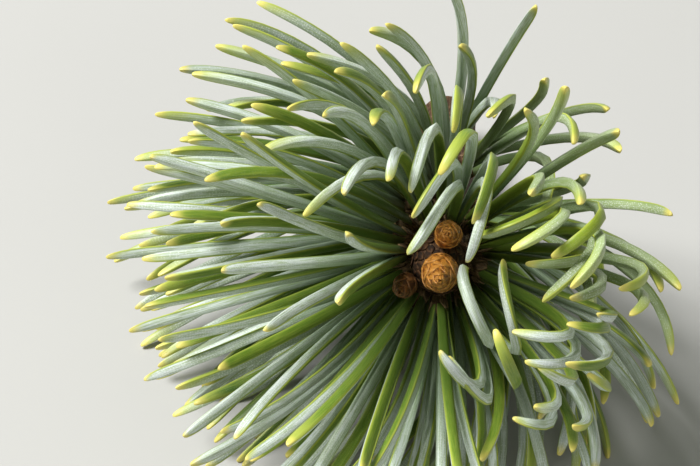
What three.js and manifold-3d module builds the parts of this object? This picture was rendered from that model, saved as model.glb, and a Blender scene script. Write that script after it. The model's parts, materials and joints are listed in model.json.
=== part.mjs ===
// A cut shoot tip of a Japanese stone pine, lying on a level surface.
// Millimetres and degrees, +Z up. The shoot points towards -Y and rises towards its tip.
import * as THREE from 'three';
import { mergeVertices } from 'three/addons/utils/BufferGeometryUtils.js';
import Module from 'manifold-3d';

const wasm = await Module();
wasm.setup();

// Stem: one ascending arc from the flat cut to the narrowed end that carries the buds
const STEM = {
  length: 52,
  riseAtCut: 18,
  riseAtTip: 42,
  radiusAtCut: 3.1,
  radiusAtTip: 2.55,
  endLength: 3,
  endNarrowing: 0.42,
  sides: 14,
  bodyRings: 12,
  endRings: 4,
};

// Needles: slim three-sided wedges, thickest from the shoulder to where the blunt end begins, and
// longer towards the lowest and oldest bundle. Shares are of the full section, of the length for
// places along it, or of a bend for its play
const NEEDLE = {
  perBundle: 5,
  length: 27,
  oldLength: 30,
  halfWidth: 0.56,
  depth: 0.78,
  steps: 28,
  rings: 6,
  crowding: 1.5,
  roundShare: 1.12,
  baseShare: 0.76,
  shoulder: 0.25,
  endBegins: 0.8,
  endShare: 0.3,
  openAtBase: 0.35,
  openGain: 0.9,
  rollPlay: 12,
  twistPlay: 25,
  bendPlay: 0.4,
  spreadPlay: 0.25,
  lengthPlay: 0.04,
  restsFrom: 0.2,
};

// Bundles: a short round foot that the needles are rooted in, 0.3 clear of the stem
const FOOT = { radius: 0.86, taper: 0.8, length: 2.2, rootDepth: 0.45, rootSpacing: 0.85, sides: 8 };
const SEAT_GAP = 0.3;
const BUNDLE = { count: 76, belowTip: 6.5, span: 31, goldenAngle: 137.508, firstAzimuth: 75 };
const SEED = { first: 4127, perBundle: 7919, perTry: 104729 };

// How the bundles below the crown grow: next to it, at the lowest one, and give or take
const HABIT = {
  lean: [36, 52, 5],
  arch: [12, 14, 20],
  hook: [20, 16, 28],
  spread: [14, 15, 3],
  drift: [0.8, 0.75, 0.35],
  sag: [0.3, 0.45, 0.15],
};

// On the side of this azimuth they lean out less, arch inwards more and drift less
const DRAWN_IN = { azimuth: 30, lean: 8, arch: 30, drift: 0.4 };

// Four habits of needle near the buds. Arch bends a needle inwards, hook bends its end, and drift
// bends it to the left
const FAN = { arch: 0, hook: 10, spread: 14, drift: 0.1 };
const ARCH = { arch: 60, hook: -10, spread: 9, drift: 0.2 };
const CLAW = { arch: 40, hook: 80, spread: 8, drift: 0.2 };
const HOOK = { arch: 110, hook: 60, spread: 10, drift: -0.2 };

// The bundles of the crown, round the buds. Azimuths count from the right-hand side upwards and
// depths from the tip
const CROWN = [
  // Next to the buds: to the left, behind them, lower right, upper left, right and in front
  { ...FAN, azimuth: 170, below: 6, lean: 20, roll: 0 },
  { ...CLAW, azimuth: 75, below: 8, lean: 35, roll: 0 },
  { ...HOOK, azimuth: 305, below: 6, lean: 35, roll: 0 },
  { ...ARCH, azimuth: 110, below: 7, lean: 50, roll: 40 },
  { ...HOOK, azimuth: 30, below: 6, lean: 50, roll: 60 },
  { ...FAN, azimuth: 270, below: 4, lean: 40, roll: 0 },
  // Behind and between those: up, lower left, right, lower right
  { ...CLAW, azimuth: 90, below: 12, lean: 50, roll: 20 },
  { ...FAN, azimuth: 240, below: 6, lean: 40, roll: 60 },
  { ...CLAW, azimuth: 345, below: 7, lean: 45, roll: 20 },
  { ...CLAW, azimuth: 325, below: 9, lean: 50, roll: 40 },
  // Further out: two fans on the left, an arch at the upper right and claws on the right
  { ...FAN, azimuth: 155, below: 9, lean: 50, roll: 0 },
  { ...FAN, azimuth: 205, below: 9, lean: 50, roll: 30 },
  { ...ARCH, azimuth: 50, below: 10, lean: 50, roll: 20 },
  { ...CLAW, azimuth: 10, below: 10, lean: 50, roll: 40 },
];

// The search for a free place: its clearance, its widening play, and what is given up
const CLEAR = 0.13;
const TRIES = 30;
const WANDER = { azimuth: 14, crownAzimuth: 8, lean: 5, roll: 60 };
const FEWEST_NEEDLES = 3;
const MOST_LIFT = 9;
const CUP = { radius: 2.2, flare: 0.16, above: 3 };
const STEM_RODS = 10;
const NEEDLE_RODS = 7;
const SLIVER = 0.02;

// Buds: one on the end of the stem and two that lean out beside it
const TIP_BUD = { length: 8.2, radius: 1.8, foot: 1.3 };
const SIDE_BUDS = [
  { length: 6, radius: 1.3, foot: 0.7, azimuth: 80, below: 1.2, lean: 7 },
  { length: 4.8, radius: 1.1, foot: 0.6, azimuth: 208, below: 2.2, lean: 9 },
];
const SIDE_BUD_GAP = 0.34;
const BUD_SHAPE = { rings: 7, sides: 12, start: 0.16, fullness: 0.72 };

const UP = new THREE.Vector3(0, 0, 1);
const ACROSS = new THREE.Vector3(1, 0, 0);
const rad = THREE.MathUtils.degToRad;
const lerp = THREE.MathUtils.lerp;

// A small repeatable stream of numbers from 0 to 1
function stream(seed) {
  let state = seed % 2147483647;
  const draw = () => {
    state = (state * 48271) % 2147483647;
    return state / 2147483647;
  };
  for (let i = 0; i < 4; i++) draw();
  return draw;
}

// The stem's radius at a distance s from the cut
function stemRadius(s) {
  const pastShoulder = Math.max(0, (s - STEM.length + STEM.endLength) / STEM.endLength);
  const straight = lerp(STEM.radiusAtCut, STEM.radiusAtTip, s / STEM.length);
  return straight * (1 - STEM.endNarrowing * pastShoulder ** 2);
}

// Where the stem is at a distance s from the cut, with its own directions there
function stemAt(s) {
  const bend = rad(STEM.riseAtTip - STEM.riseAtCut) / STEM.length;
  const start = rad(STEM.riseAtCut);
  const rise = start + bend * s;
  const centre = new THREE.Vector3(
    0,
    -(Math.sin(rise) - Math.sin(start)) / bend,
    -(Math.cos(rise) - Math.cos(start)) / bend + STEM.radiusAtCut * Math.cos(start),
  );
  const along = new THREE.Vector3(0, -Math.cos(rise), Math.sin(rise));
  const above = new THREE.Vector3(0, Math.sin(rise), Math.cos(rise));
  return { centre, along, above, radius: stemRadius(s) };
}

// The direction out of the stem at an azimuth, counted from +X towards the upper side
function outwards(place, azimuth) {
  return ACROSS.clone().multiplyScalar(Math.cos(rad(azimuth)))
    .addScaledVector(place.above, Math.sin(rad(azimuth)));
}

// How one bundle of needles grows, with a play that widens from 0 to 1 as places are tried
function bundlePlan(index, draw, wander) {
  const jitter = (size) => size * (2 * draw() - 1);
  if (index < CROWN.length) {
    const own = CROWN[index];
    return {
      ...own,
      s: STEM.length - own.below,
      azimuth: own.azimuth + jitter(WANDER.crownAzimuth * wander),
      lean: own.lean + jitter(WANDER.lean * wander),
      roll: own.roll + jitter(WANDER.roll * wander),
      sag: 0,
      length: NEEDLE.length * (1 + jitter(NEEDLE.lengthPlay)),
    };
  }
  const later = index - CROWN.length;
  const age = later / (BUNDLE.count - CROWN.length - 1);
  const habit = ([near, far, play]) => lerp(near, far, age) + jitter(play);
  const azimuth = BUNDLE.firstAzimuth + later * BUNDLE.goldenAngle + jitter(WANDER.azimuth * wander);
  const facing = Math.cos(rad(azimuth - DRAWN_IN.azimuth));
  const near = Math.max(0, facing);
  return {
    s: STEM.length - BUNDLE.belowTip - BUNDLE.span * age,
    azimuth,
    lean: habit(HABIT.lean) - DRAWN_IN.lean * facing + jitter(WANDER.lean * wander),
    arch: habit(HABIT.arch) + DRAWN_IN.arch * near,
    hook: habit(HABIT.hook),
    spread: habit(HABIT.spread),
    drift: habit(HABIT.drift) - DRAWN_IN.drift * near,
    sag: habit(HABIT.sag),
    roll: 360 * draw(),
    length: lerp(NEEDLE.length, NEEDLE.oldLength, age) * (1 + jitter(NEEDLE.lengthPlay)),
  };
}

// The section of a needle along its length, as a share of its full section
function taper(x) {
  const swelling = lerp(NEEDLE.baseShare, 1, Math.min(1, x / NEEDLE.shoulder));
  const pastEnd = Math.max(0, (x - NEEDLE.endBegins) / (1 - NEEDLE.endBegins));
  return swelling * Math.max(NEEDLE.endShare, Math.sqrt(1 - pastEnd ** 3));
}

// The radius round the centreline that holds a needle's section, half of its width and a little over
const reach = (x) => NEEDLE.halfWidth * NEEDLE.roundShare * taper(x);

// A direction at an angle from one axis towards another
function turned(from, towards, angle) {
  return from.clone().multiplyScalar(Math.cos(angle)).addScaledVector(towards, Math.sin(angle));
}

// The centreline of needle k, bent by its bundle's habit, its own spread and its weight
function growNeedle(plan, seat, k, draw) {
  const play = (share) => 1 + share * (2 * draw() - 1);
  const section = rad(plan.roll + 360 / NEEDLE.perBundle * k);
  const roll = section + rad(NEEDLE.rollPlay * (2 * draw() - 1));
  const twist = rad(NEEDLE.twistPlay * (2 * draw() - 1));
  const arch = plan.arch * play(NEEDLE.bendPlay);
  const hook = plan.hook * play(NEEDLE.bendPlay);
  const drift = plan.drift * play(NEEDLE.bendPlay);
  const spread = plan.spread * play(NEEDLE.spreadPlay);
  const step = plan.length * play(NEEDLE.lengthPlay) / NEEDLE.steps;
  const around = new THREE.Vector3().crossVectors(seat.along, seat.out);
  const samples = [];
  const point = new THREE.Vector3();
  for (let j = 0; j <= NEEDLE.steps; j++) {
    const x = j / NEEDLE.steps;
    const lean = rad(plan.lean - arch * x ** 2 - hook * x ** 5);
    const heading = turned(seat.along, seat.out, lean);
    const inner = turned(seat.out.clone().negate(), seat.along, lean);
    const away = turned(around, inner, section);
    if (j === 0) {
      point.copy(seat.foot).addScaledVector(heading, FOOT.length * (1 - FOOT.rootDepth))
        .addScaledVector(away, NEEDLE.depth * NEEDLE.baseShare * FOOT.rootSpacing);
    } else {
      const open = Math.tan(rad(spread * (NEEDLE.openAtBase + NEEDLE.openGain * x)));
      const direction = heading.addScaledVector(turned(around, inner, roll), open)
        .addScaledVector(ACROSS, -drift * x ** 2)
        .addScaledVector(UP, -plan.sag * x ** 2)
        .normalize();
      point.addScaledVector(direction, step);
    }
    samples.push({ x, point: point.clone(), away, twist: twist * x });
  }
  return restOnGround(samples);
}

// A needle that would reach below the ground bends up to lie on it
function restOnGround(samples) {
  let lift = 0;
  for (const { x, point } of samples) {
    if (x > NEEDLE.restsFrom) lift = Math.max(lift, (reach(x) - point.z) / x ** 2);
  }
  for (const sample of samples) sample.point.z += lift * sample.x ** 2;
  return { samples, lift };
}

// The shortest distance between the segments p-q and r-s
function segmentGap(p, q, r, s) {
  const d1 = q.clone().sub(p);
  const d2 = s.clone().sub(r);
  const between = p.clone().sub(r);
  const a = d1.dot(d1);
  const e = d2.dot(d2);
  const f = d2.dot(between);
  const c = d1.dot(between);
  const b = d1.dot(d2);
  const denominator = a * e - b * b;
  const clamp = (v) => Math.min(1, Math.max(0, v));
  let t1 = denominator > 1e-9 ? clamp((b * f - c * e) / denominator) : 0;
  let t2 = (b * t1 + f) / e;
  if (t2 < 0 || t2 > 1) {
    t2 = clamp(t2);
    t1 = clamp((b * t2 - c) / a);
  }
  return between.addScaledVector(d1, t1).addScaledVector(d2, -t2).length();
}

// A needle as a chain of short rods, for testing that things keep apart
function rodsOf(samples) {
  const rods = [];
  const stride = NEEDLE.steps / NEEDLE_RODS;
  for (let i = 0; i < NEEDLE_RODS; i++) {
    const low = samples[i * stride];
    const high = samples[(i + 1) * stride];
    rods.push({ a: low.point, b: high.point, r: Math.max(reach(low.x), reach(high.x)) });
  }
  return rods;
}

const rodsMeet = (m, n) => segmentGap(m.a, m.b, n.a, n.b) < m.r + n.r + CLEAR;

// The stem and the buds as rods, the stem's first
function limbRods() {
  const rods = [];
  for (let i = 0; i < STEM_RODS; i++) {
    const low = stemAt(STEM.length * i / STEM_RODS);
    const high = stemAt(STEM.length * (i + 1) / STEM_RODS);
    rods.push({ a: low.centre, b: high.centre, r: low.radius + SEAT_GAP });
  }
  for (const { foot, along, size } of budPlaces()) {
    const tip = foot.clone().addScaledVector(along, size.length - size.radius);
    rods.push({ a: foot, b: tip, r: size.radius + SEAT_GAP });
  }
  return rods;
}

// The open cup over the buds, which needles keep out of
function inCup(samples) {
  const tip = stemAt(STEM.length);
  return samples.some(({ point }) => {
    const from = point.clone().sub(tip.centre);
    const height = from.dot(tip.along);
    if (height < CUP.above) return false;
    const side = from.addScaledVector(tip.along, -height).length();
    return side < CUP.radius + CUP.flare * height;
  });
}

// Where each bud sits and points
function budPlaces() {
  const tip = stemAt(STEM.length);
  const tipFoot = tip.centre.clone().addScaledVector(tip.along, SEAT_GAP);
  const sideBuds = SIDE_BUDS.map((size, i) => {
    const shoulder = stemAt(STEM.length - size.below);
    const out = outwards(shoulder, size.azimuth);
    const stand = shoulder.radius + SIDE_BUD_GAP + size.foot;
    return {
      name: `bud_side_${i + 1}`,
      size,
      foot: shoulder.centre.clone().addScaledVector(out, stand),
      along: turned(shoulder.along, out, rad(size.lean)),
    };
  });
  return [{ name: 'bud_tip', size: TIP_BUD, foot: tipFoot, along: tip.along }, ...sideBuds];
}

// One try at a bundle: its foot and those of its needles that find room
function tryBundle(index, attempt, taken) {
  const draw = stream(SEED.first + index * SEED.perBundle + attempt * SEED.perTry);
  const plan = bundlePlan(index, draw, attempt / TRIES);
  const place = stemAt(plan.s);
  const out = outwards(place, plan.azimuth);
  const lean = rad(plan.lean);
  const stand = place.radius + SEAT_GAP + FOOT.radius * FOOT.taper * Math.cos(lean);
  const seat = {
    along: place.along,
    out,
    heading: turned(place.along, out, lean),
    foot: place.centre.clone().addScaledVector(out, stand),
  };
  const footEnd = seat.foot.clone().addScaledVector(seat.heading, FOOT.length);
  const footRod = { a: seat.foot, b: footEnd, r: FOOT.radius };
  const besideStem = taken.slice(STEM_RODS);
  const inCrown = index < CROWN.length;
  const needles = [];
  for (let k = 0; k < NEEDLE.perBundle; k++) {
    const { samples, lift } = growNeedle(plan, seat, k, draw);
    const [root, ...rest] = rodsOf(samples);
    const clear = lift < MOST_LIFT
      && (inCrown || !inCup(samples))
      && !besideStem.some((other) => rodsMeet(root, other))
      && !rest.some((rod) => taken.some((other) => rodsMeet(rod, other)));
    if (clear) needles.push({ samples, rods: [root, ...rest] });
  }
  const blocked = besideStem.some((other) => rodsMeet(footRod, other));
  return { seat, footRod, needles, score: blocked ? 0 : needles.length };
}

// Every bundle, from the tip down. Each tries some places and takes the one with the most needles
function growBundles() {
  const taken = limbRods();
  const bundles = [];
  for (let index = 0; index < BUNDLE.count; index++) {
    let best = { score: 0 };
    for (let attempt = 0; attempt < TRIES && best.score < NEEDLE.perBundle; attempt++) {
      const bundle = tryBundle(index, attempt, taken);
      if (bundle.score > best.score) best = bundle;
    }
    if (best.score < FEWEST_NEEDLES) continue;
    taken.push(best.footRod, ...best.needles.flatMap((needle) => needle.rods));
    bundles.push(best);
  }
  return bundles;
}

// Moves the points of a geometry that stands along +Y onto rings in space
function bendAlong(geometry, ringAt) {
  const position = geometry.getAttribute('position');
  const point = new THREE.Vector3();
  for (let i = 0; i < position.count; i++) {
    point.fromBufferAttribute(position, i);
    const ring = ringAt(point.y);
    const moved = ring.centre.clone()
      .addScaledVector(ring.side, point.x)
      .addScaledVector(ring.face, point.z);
    position.setXYZ(i, moved.x, moved.y, moved.z);
  }
  return solidOf(geometry);
}

function solidOf(geometry) {
  geometry.deleteAttribute('normal');
  geometry.deleteAttribute('uv');
  const merged = mergeVertices(geometry, 1e-5);
  return new wasm.Manifold(new wasm.Mesh({
    numProp: 3,
    vertProperties: merged.getAttribute('position').array,
    triVerts: new Uint32Array(merged.index.array),
  }));
}

function geometryOf(solid) {
  const { vertProperties, triVerts } = solid.getMesh();
  const geometry = new THREE.BufferGeometry();
  geometry.setAttribute('position', new THREE.BufferAttribute(vertProperties, 3));
  geometry.setIndex(new THREE.BufferAttribute(triVerts, 1));
  geometry.computeVertexNormals();
  return geometry;
}

// One needle: a three-sided column, its keel turned to the middle of the bundle and its rings
// crowded towards the end. At radius 1 the column is 1.5 deep and twice the sine of 60 degrees wide
function needleSolid(samples) {
  const stations = [];
  for (let i = 0; i <= NEEDLE.rings; i++) {
    const x = 1 - (1 - i / NEEDLE.rings) ** NEEDLE.crowding;
    stations.push(Math.round(x * NEEDLE.steps));
  }
  const column = new THREE.CylinderGeometry(1, 1, NEEDLE.rings, 3, NEEDLE.rings);
  return bendAlong(column, (y) => {
    const j = stations[Math.round(y + NEEDLE.rings / 2)];
    const { x, point, away, twist } = samples[j];
    const before = samples[Math.max(0, j - 1)].point;
    const after = samples[Math.min(NEEDLE.steps, j + 1)].point;
    const along = after.clone().sub(before).normalize();
    const inner = away.clone().addScaledVector(along, -away.dot(along)).normalize().negate();
    inner.applyAxisAngle(along, twist);
    const side = new THREE.Vector3().crossVectors(along, inner);
    return {
      centre: point,
      side: side.multiplyScalar(taper(x) * NEEDLE.halfWidth / Math.sin(rad(60))),
      face: inner.multiplyScalar(taper(x) * NEEDLE.depth / 1.5),
    };
  });
}

// A geometry that stands on the origin along +Y is set on its foot and turned along its own line
function setOn(geometry, foot, along) {
  const standing = new THREE.Vector3(0, 1, 0);
  geometry.applyQuaternion(new THREE.Quaternion().setFromUnitVectors(standing, along));
  geometry.translate(foot.x, foot.y, foot.z);
  return solidOf(geometry);
}

function bundleSolid({ seat, needles }) {
  const foot = new THREE.CylinderGeometry(FOOT.radius, FOOT.radius * FOOT.taper, FOOT.length, FOOT.sides);
  foot.translate(0, FOOT.length / 2, 0);
  const whole = needles.reduce(
    (solid, { samples }) => solid.add(needleSolid(samples)),
    setOn(foot, seat.foot, seat.heading),
  );
  return whole.asOriginal().simplify(SLIVER);
}

function stemSolid() {
  const rings = STEM.bodyRings + STEM.endRings;
  const body = STEM.length - STEM.endLength;
  const column = new THREE.CylinderGeometry(1, 1, rings, STEM.sides, rings);
  return bendAlong(column, (y) => {
    const ring = Math.round(y + rings / 2);
    const past = Math.max(0, ring - STEM.bodyRings);
    const s = body * Math.min(1, ring / STEM.bodyRings) + STEM.endLength * past / STEM.endRings;
    const place = stemAt(s);
    return {
      centre: place.centre,
      side: ACROSS.clone().multiplyScalar(place.radius),
      face: place.above.clone().multiplyScalar(-place.radius),
    };
  });
}

function budSolid({ size, foot, along }) {
  const { rings, sides, start, fullness } = BUD_SHAPE;
  const profile = [new THREE.Vector2(0, 0)];
  for (let i = 0; i < rings; i++) {
    const height = i / rings;
    const bulge = Math.sin(Math.PI * lerp(start, 1, height) ** fullness);
    profile.push(new THREE.Vector2(i === 0 ? size.foot : size.radius * bulge, size.length * height));
  }
  profile.push(new THREE.Vector2(0, size.length));
  return setOn(new THREE.LatheGeometry(profile, sides), foot, along);
}

const materials = {
  bark: new THREE.MeshStandardMaterial({ color: 0x6e4a2c, roughness: 0.9, metalness: 0 }),
  bud: new THREE.MeshStandardMaterial({ color: 0xb06f2c, roughness: 0.6, metalness: 0 }),
  needles: new THREE.MeshStandardMaterial({ color: 0x7f9a6a, roughness: 0.5, metalness: 0 }),
};

const shoot = new THREE.Group();
function addPiece(name, solid, material) {
  const mesh = new THREE.Mesh(geometryOf(solid), material);
  mesh.name = name;
  shoot.add(mesh);
}

addPiece('stem', stemSolid(), materials.bark);
for (const bud of budPlaces()) addPiece(bud.name, budSolid(bud), materials.bud);
growBundles().forEach((bundle, i) => {
  const number = String(i + 1).padStart(2, '0');
  addPiece(`needle_bundle_${number}`, bundleSolid(bundle), materials.needles);
});

// The origin is under the middle of the whole piece
const box = new THREE.Box3().setFromObject(shoot);
shoot.position.set(-(box.min.x + box.max.x) / 2, -(box.min.y + box.max.y) / 2, -box.min.z);

export default shoot;
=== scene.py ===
"""A cut shoot tip of a Japanese stone pine: bundles of five needles, scaly buds, bark and cut wood.

The solids of the frame say where everything is. Here the needles, buds and stem are grown again
by the same rule with their finer forms, and each piece stands for the solid that it follows.
"""

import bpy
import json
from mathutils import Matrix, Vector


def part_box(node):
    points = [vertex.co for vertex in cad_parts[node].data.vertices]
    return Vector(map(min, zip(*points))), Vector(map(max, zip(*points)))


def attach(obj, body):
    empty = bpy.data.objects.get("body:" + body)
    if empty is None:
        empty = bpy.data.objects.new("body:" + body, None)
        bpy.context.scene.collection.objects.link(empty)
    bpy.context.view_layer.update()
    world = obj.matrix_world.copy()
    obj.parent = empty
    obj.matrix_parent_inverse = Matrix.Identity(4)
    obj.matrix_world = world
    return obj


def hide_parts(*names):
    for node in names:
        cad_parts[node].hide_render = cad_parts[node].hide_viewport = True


bl_info = {
    "name": "Japanese Stone Pine Shoot",
    "version": (1, 0, 0),
    "blender": (4, 5, 0),
    "location": "3D View > Sidebar > Pine Shoot",
    "description": "Grows the needles, buds and bark of a cut stone pine shoot round its solids",
    "category": "Add Mesh",
}

import json
import math

import bmesh
import bpy
import numpy as np
from bpy.props import FloatProperty, FloatVectorProperty, IntProperty, PointerProperty
from bpy.types import Operator, Panel, PropertyGroup
from mathutils import Vector

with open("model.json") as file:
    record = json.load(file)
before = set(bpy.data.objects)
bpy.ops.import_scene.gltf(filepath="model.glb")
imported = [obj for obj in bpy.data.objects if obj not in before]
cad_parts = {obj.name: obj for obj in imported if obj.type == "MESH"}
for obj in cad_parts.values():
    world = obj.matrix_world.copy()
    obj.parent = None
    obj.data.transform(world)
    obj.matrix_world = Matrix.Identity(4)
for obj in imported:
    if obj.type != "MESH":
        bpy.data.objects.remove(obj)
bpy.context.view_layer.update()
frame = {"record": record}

# The rule of growth below is in millimetres and degrees, as the solids' own. The frame is in metres
MM = 0.001

# Stem: one ascending arc from the flat cut to the narrowed end that carries the buds
STEM_LENGTH = 52.0
RISE_AT_CUT = 18.0
RISE_AT_TIP = 42.0
RADIUS_AT_CUT = 3.1
RADIUS_AT_TIP = 2.55
END_LENGTH = 3.0
END_NARROWING = 0.42

# Needles: places along them and taper are shares of the length and of the full section. The
# lowest and oldest bundle has the longest
NEEDLES_PER_BUNDLE = 5
NEEDLE_LENGTH = 27.0
OLD_NEEDLE_LENGTH = 30.0
NEEDLE_HALF_WIDTH = 0.56
NEEDLE_DEPTH = 0.78
NEEDLE_STEPS = 28
NEEDLE_RODS = 7
ROUND_SHARE = 1.12
BASE_SHARE = 0.76
SHOULDER = 0.25
END_BEGINS = 0.8
END_SHARE = 0.3
OPEN_AT_BASE = 0.35
OPEN_GAIN = 0.9
ROLL_PLAY = 12.0
TWIST_PLAY = 25.0
BEND_PLAY = 0.4
SPREAD_PLAY = 0.25
LENGTH_PLAY = 0.04
RESTS_FROM = 0.2

# Bundles: each stands on a short foot and they follow a golden-angle spiral down the stem
FOOT_RADIUS = 0.86
FOOT_TAPER = 0.8
FOOT_LENGTH = 2.2
ROOT_DEPTH = 0.45
ROOT_SPACING = 0.85
SEAT_GAP = 0.3
BUNDLE_COUNT = 76
BELOW_TIP = 6.5
SPAN = 31.0
GOLDEN_ANGLE = 137.508
FIRST_AZIMUTH = 75.0
SEED = 4127
SEED_PER_BUNDLE = 7919
SEED_PER_TRY = 104729

# How the bundles below the crown grow: next to it, at the lowest one, and give or take. On the
# side of the drawn-in azimuth they lean out less, arch inwards more and drift less
LEAN_HABIT = (36.0, 52.0, 5.0)
ARCH_HABIT = (12.0, 14.0, 20.0)
HOOK_HABIT = (20.0, 16.0, 28.0)
SPREAD_HABIT = (14.0, 15.0, 3.0)
DRIFT_HABIT = (0.8, 0.75, 0.35)
SAG_HABIT = (0.3, 0.45, 0.15)
DRAWN_IN_AZIMUTH = 30.0
DRAWN_IN_LEAN = 8.0
DRAWN_IN_ARCH = 30.0
DRAWN_IN_DRIFT = 0.4

# Four habits of needle near the buds, each as its arch, hook, spread and drift
FAN = (0, 10, 14, 0.1)
ARCH = (60, -10, 9, 0.2)
CLAW = (40, 80, 8, 0.2)
HOOK = (110, 60, 10, -0.2)

# The bundles of the crown: azimuth, depth below the tip, lean, roll and habit
CROWN = (
    # Next to the buds: to the left, behind them, lower right, upper left, right and in front
    (170, 6, 20, 0, FAN),
    (75, 8, 35, 0, CLAW),
    (305, 6, 35, 0, HOOK),
    (110, 7, 50, 40, ARCH),
    (30, 6, 50, 60, HOOK),
    (270, 4, 40, 0, FAN),
    # Behind and between those: up, lower left, right, lower right
    (90, 12, 50, 20, CLAW),
    (240, 6, 40, 60, FAN),
    (345, 7, 45, 20, CLAW),
    (325, 9, 50, 40, CLAW),
    # Further out: two fans on the left, an arch at the upper right and claws on the right
    (155, 9, 50, 0, FAN),
    (205, 9, 50, 30, FAN),
    (50, 10, 50, 20, ARCH),
    (10, 10, 50, 40, CLAW),
)

# The search for a free place for each bundle
CLEAR = 0.13
NEARLY_PARALLEL = 1e-9
TRIES = 30
AZIMUTH_WANDER = 14.0
CROWN_WANDER = 8.0
LEAN_WANDER = 5.0
ROLL_WANDER = 60.0
FEWEST_NEEDLES = 3
MOST_LIFT = 9.0
CUP_RADIUS = 2.2
CUP_FLARE = 0.16
CUP_ABOVE = 3.0
STEM_RODS = 10

# Buds: length, radius and foot radius of each. Those beside the one on the end come with their
# azimuth, their depth below the tip and their lean
TIP_BUD = (8.2, 1.8, 1.3)
SIDE_BUDS = (
    ((6.0, 1.3, 0.7), 80.0, 1.2, 7.0),
    ((4.8, 1.1, 0.6), 208.0, 2.2, 9.0),
)
SIDE_BUD_GAP = 0.34
BUD_START = 0.16
BUD_FULLNESS = 0.72

ACROSS = np.array((1.0, 0.0, 0.0))
UP = np.array((0.0, 0.0, 1.0))

GROWTH_MAP = "growth"
BAKE_MAP = "OFBake"
VIGOUR = "vigour"
RELIEF = "relief"


def lerp(low, high, share):
    return (1 - share) * low + share * high


def unit(vectors):
    return vectors / np.linalg.norm(vectors, axis=-1, keepdims=True)


def turned(start, towards, angle):
    """A direction at an angle from one axis towards another, for one angle or a row of them."""
    angle = np.asarray(angle)[..., None]
    return np.cos(angle) * start + np.sin(angle) * towards


def pairs(places):
    """Each place with the next one."""
    return list(zip(places, places[1:]))


def some(draw, least, play):
    """A least value and a drawn share of the play on top of it."""
    return least + play * draw()


# Each number of the stream is the last one times the factor, with what is left of it past whole
# moduli, and the first few are passed over
STREAM_MODULUS = 2147483647
STREAM_FACTOR = 48271
PASSED_OVER = 4


def stream(seed):
    """A small repeatable stream of numbers from 0 to 1, the same as the solids'."""
    state = seed % STREAM_MODULUS

    def draw():
        nonlocal state
        state = state * STREAM_FACTOR % STREAM_MODULUS
        return state / STREAM_MODULUS

    for _ in range(PASSED_OVER):
        draw()
    return draw


def stem_radius(s):
    past_shoulder = np.maximum(0, (s - STEM_LENGTH + END_LENGTH) / END_LENGTH)
    straight = lerp(RADIUS_AT_CUT, RADIUS_AT_TIP, s / STEM_LENGTH)
    return straight * (1 - END_NARROWING * past_shoulder**2)


class StemPlace:
    """Where the stem is at one or more distances from the cut, with its own directions there."""

    def __init__(self, s):
        s = np.asarray(s, float)
        bend = math.radians(RISE_AT_TIP - RISE_AT_CUT) / STEM_LENGTH
        start = math.radians(RISE_AT_CUT)
        rise = start + bend * s
        none = np.zeros_like(s)
        height = -(np.cos(rise) - math.cos(start)) / bend + RADIUS_AT_CUT * math.cos(start)
        self.centre = np.stack((none, -(np.sin(rise) - math.sin(start)) / bend, height), -1)
        self.along = np.stack((none, -np.cos(rise), np.sin(rise)), -1)
        self.above = np.stack((none, np.sin(rise), np.cos(rise)), -1)
        self.radius = stem_radius(s)

    def outwards(self, azimuth):
        """The direction out of the stem at an azimuth, counted from +X towards the upper side."""
        return turned(ACROSS, self.above, np.radians(azimuth))


class BundlePlan:
    """How one bundle of needles grows, with a play that widens as places are tried."""

    def __init__(self, index, draw, wander):
        def jitter(size):
            return size * (2 * draw() - 1)

        if index < len(CROWN):
            azimuth, below, lean, roll, habit = CROWN[index]
            self.arch, self.hook, self.spread, self.drift = habit
            self.s = STEM_LENGTH - below
            self.azimuth = azimuth + jitter(CROWN_WANDER * wander)
            self.lean = lean + jitter(LEAN_WANDER * wander)
            self.roll = roll + jitter(ROLL_WANDER * wander)
            self.sag = 0.0
            self.length = NEEDLE_LENGTH * (1 + jitter(LENGTH_PLAY))
            return
        later = index - len(CROWN)
        age = later / (BUNDLE_COUNT - len(CROWN) - 1)

        def habit(near, far, play):
            return lerp(near, far, age) + jitter(play)

        self.s = STEM_LENGTH - BELOW_TIP - SPAN * age
        self.azimuth = FIRST_AZIMUTH + later * GOLDEN_ANGLE + jitter(AZIMUTH_WANDER * wander)
        facing = math.cos(math.radians(self.azimuth - DRAWN_IN_AZIMUTH))
        near = max(0.0, facing)
        self.lean = habit(*LEAN_HABIT) - DRAWN_IN_LEAN * facing + jitter(LEAN_WANDER * wander)
        self.arch = habit(*ARCH_HABIT) + DRAWN_IN_ARCH * near
        self.hook = habit(*HOOK_HABIT)
        self.spread = habit(*SPREAD_HABIT)
        self.drift = habit(*DRIFT_HABIT) - DRAWN_IN_DRIFT * near
        self.sag = habit(*SAG_HABIT)
        self.roll = 360 * draw()
        self.length = lerp(NEEDLE_LENGTH, OLD_NEEDLE_LENGTH, age) * (1 + jitter(LENGTH_PLAY))


class Seat:
    """Where a bundle stands beside the stem, and the line of its foot."""

    def __init__(self, plan):
        place = StemPlace(plan.s)
        lean = math.radians(plan.lean)
        stand = place.radius + SEAT_GAP + FOOT_RADIUS * FOOT_TAPER * math.cos(lean)
        self.s = plan.s
        self.azimuth = plan.azimuth
        self.along = place.along
        self.out = place.outwards(plan.azimuth)
        self.heading = turned(self.along, self.out, lean)
        self.foot = place.centre + self.out * stand


def swelling(x):
    return lerp(BASE_SHARE, 1, np.minimum(1, x / SHOULDER))


def rounding(x):
    past_end = np.clip((x - END_BEGINS) / (1 - END_BEGINS), 0, 1)
    return np.sqrt(1 - past_end**3)


def reach(x):
    """The radius round the centreline that holds a needle's section."""
    return NEEDLE_HALF_WIDTH * ROUND_SHARE * swelling(x) * np.maximum(END_SHARE, rounding(x))


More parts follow.
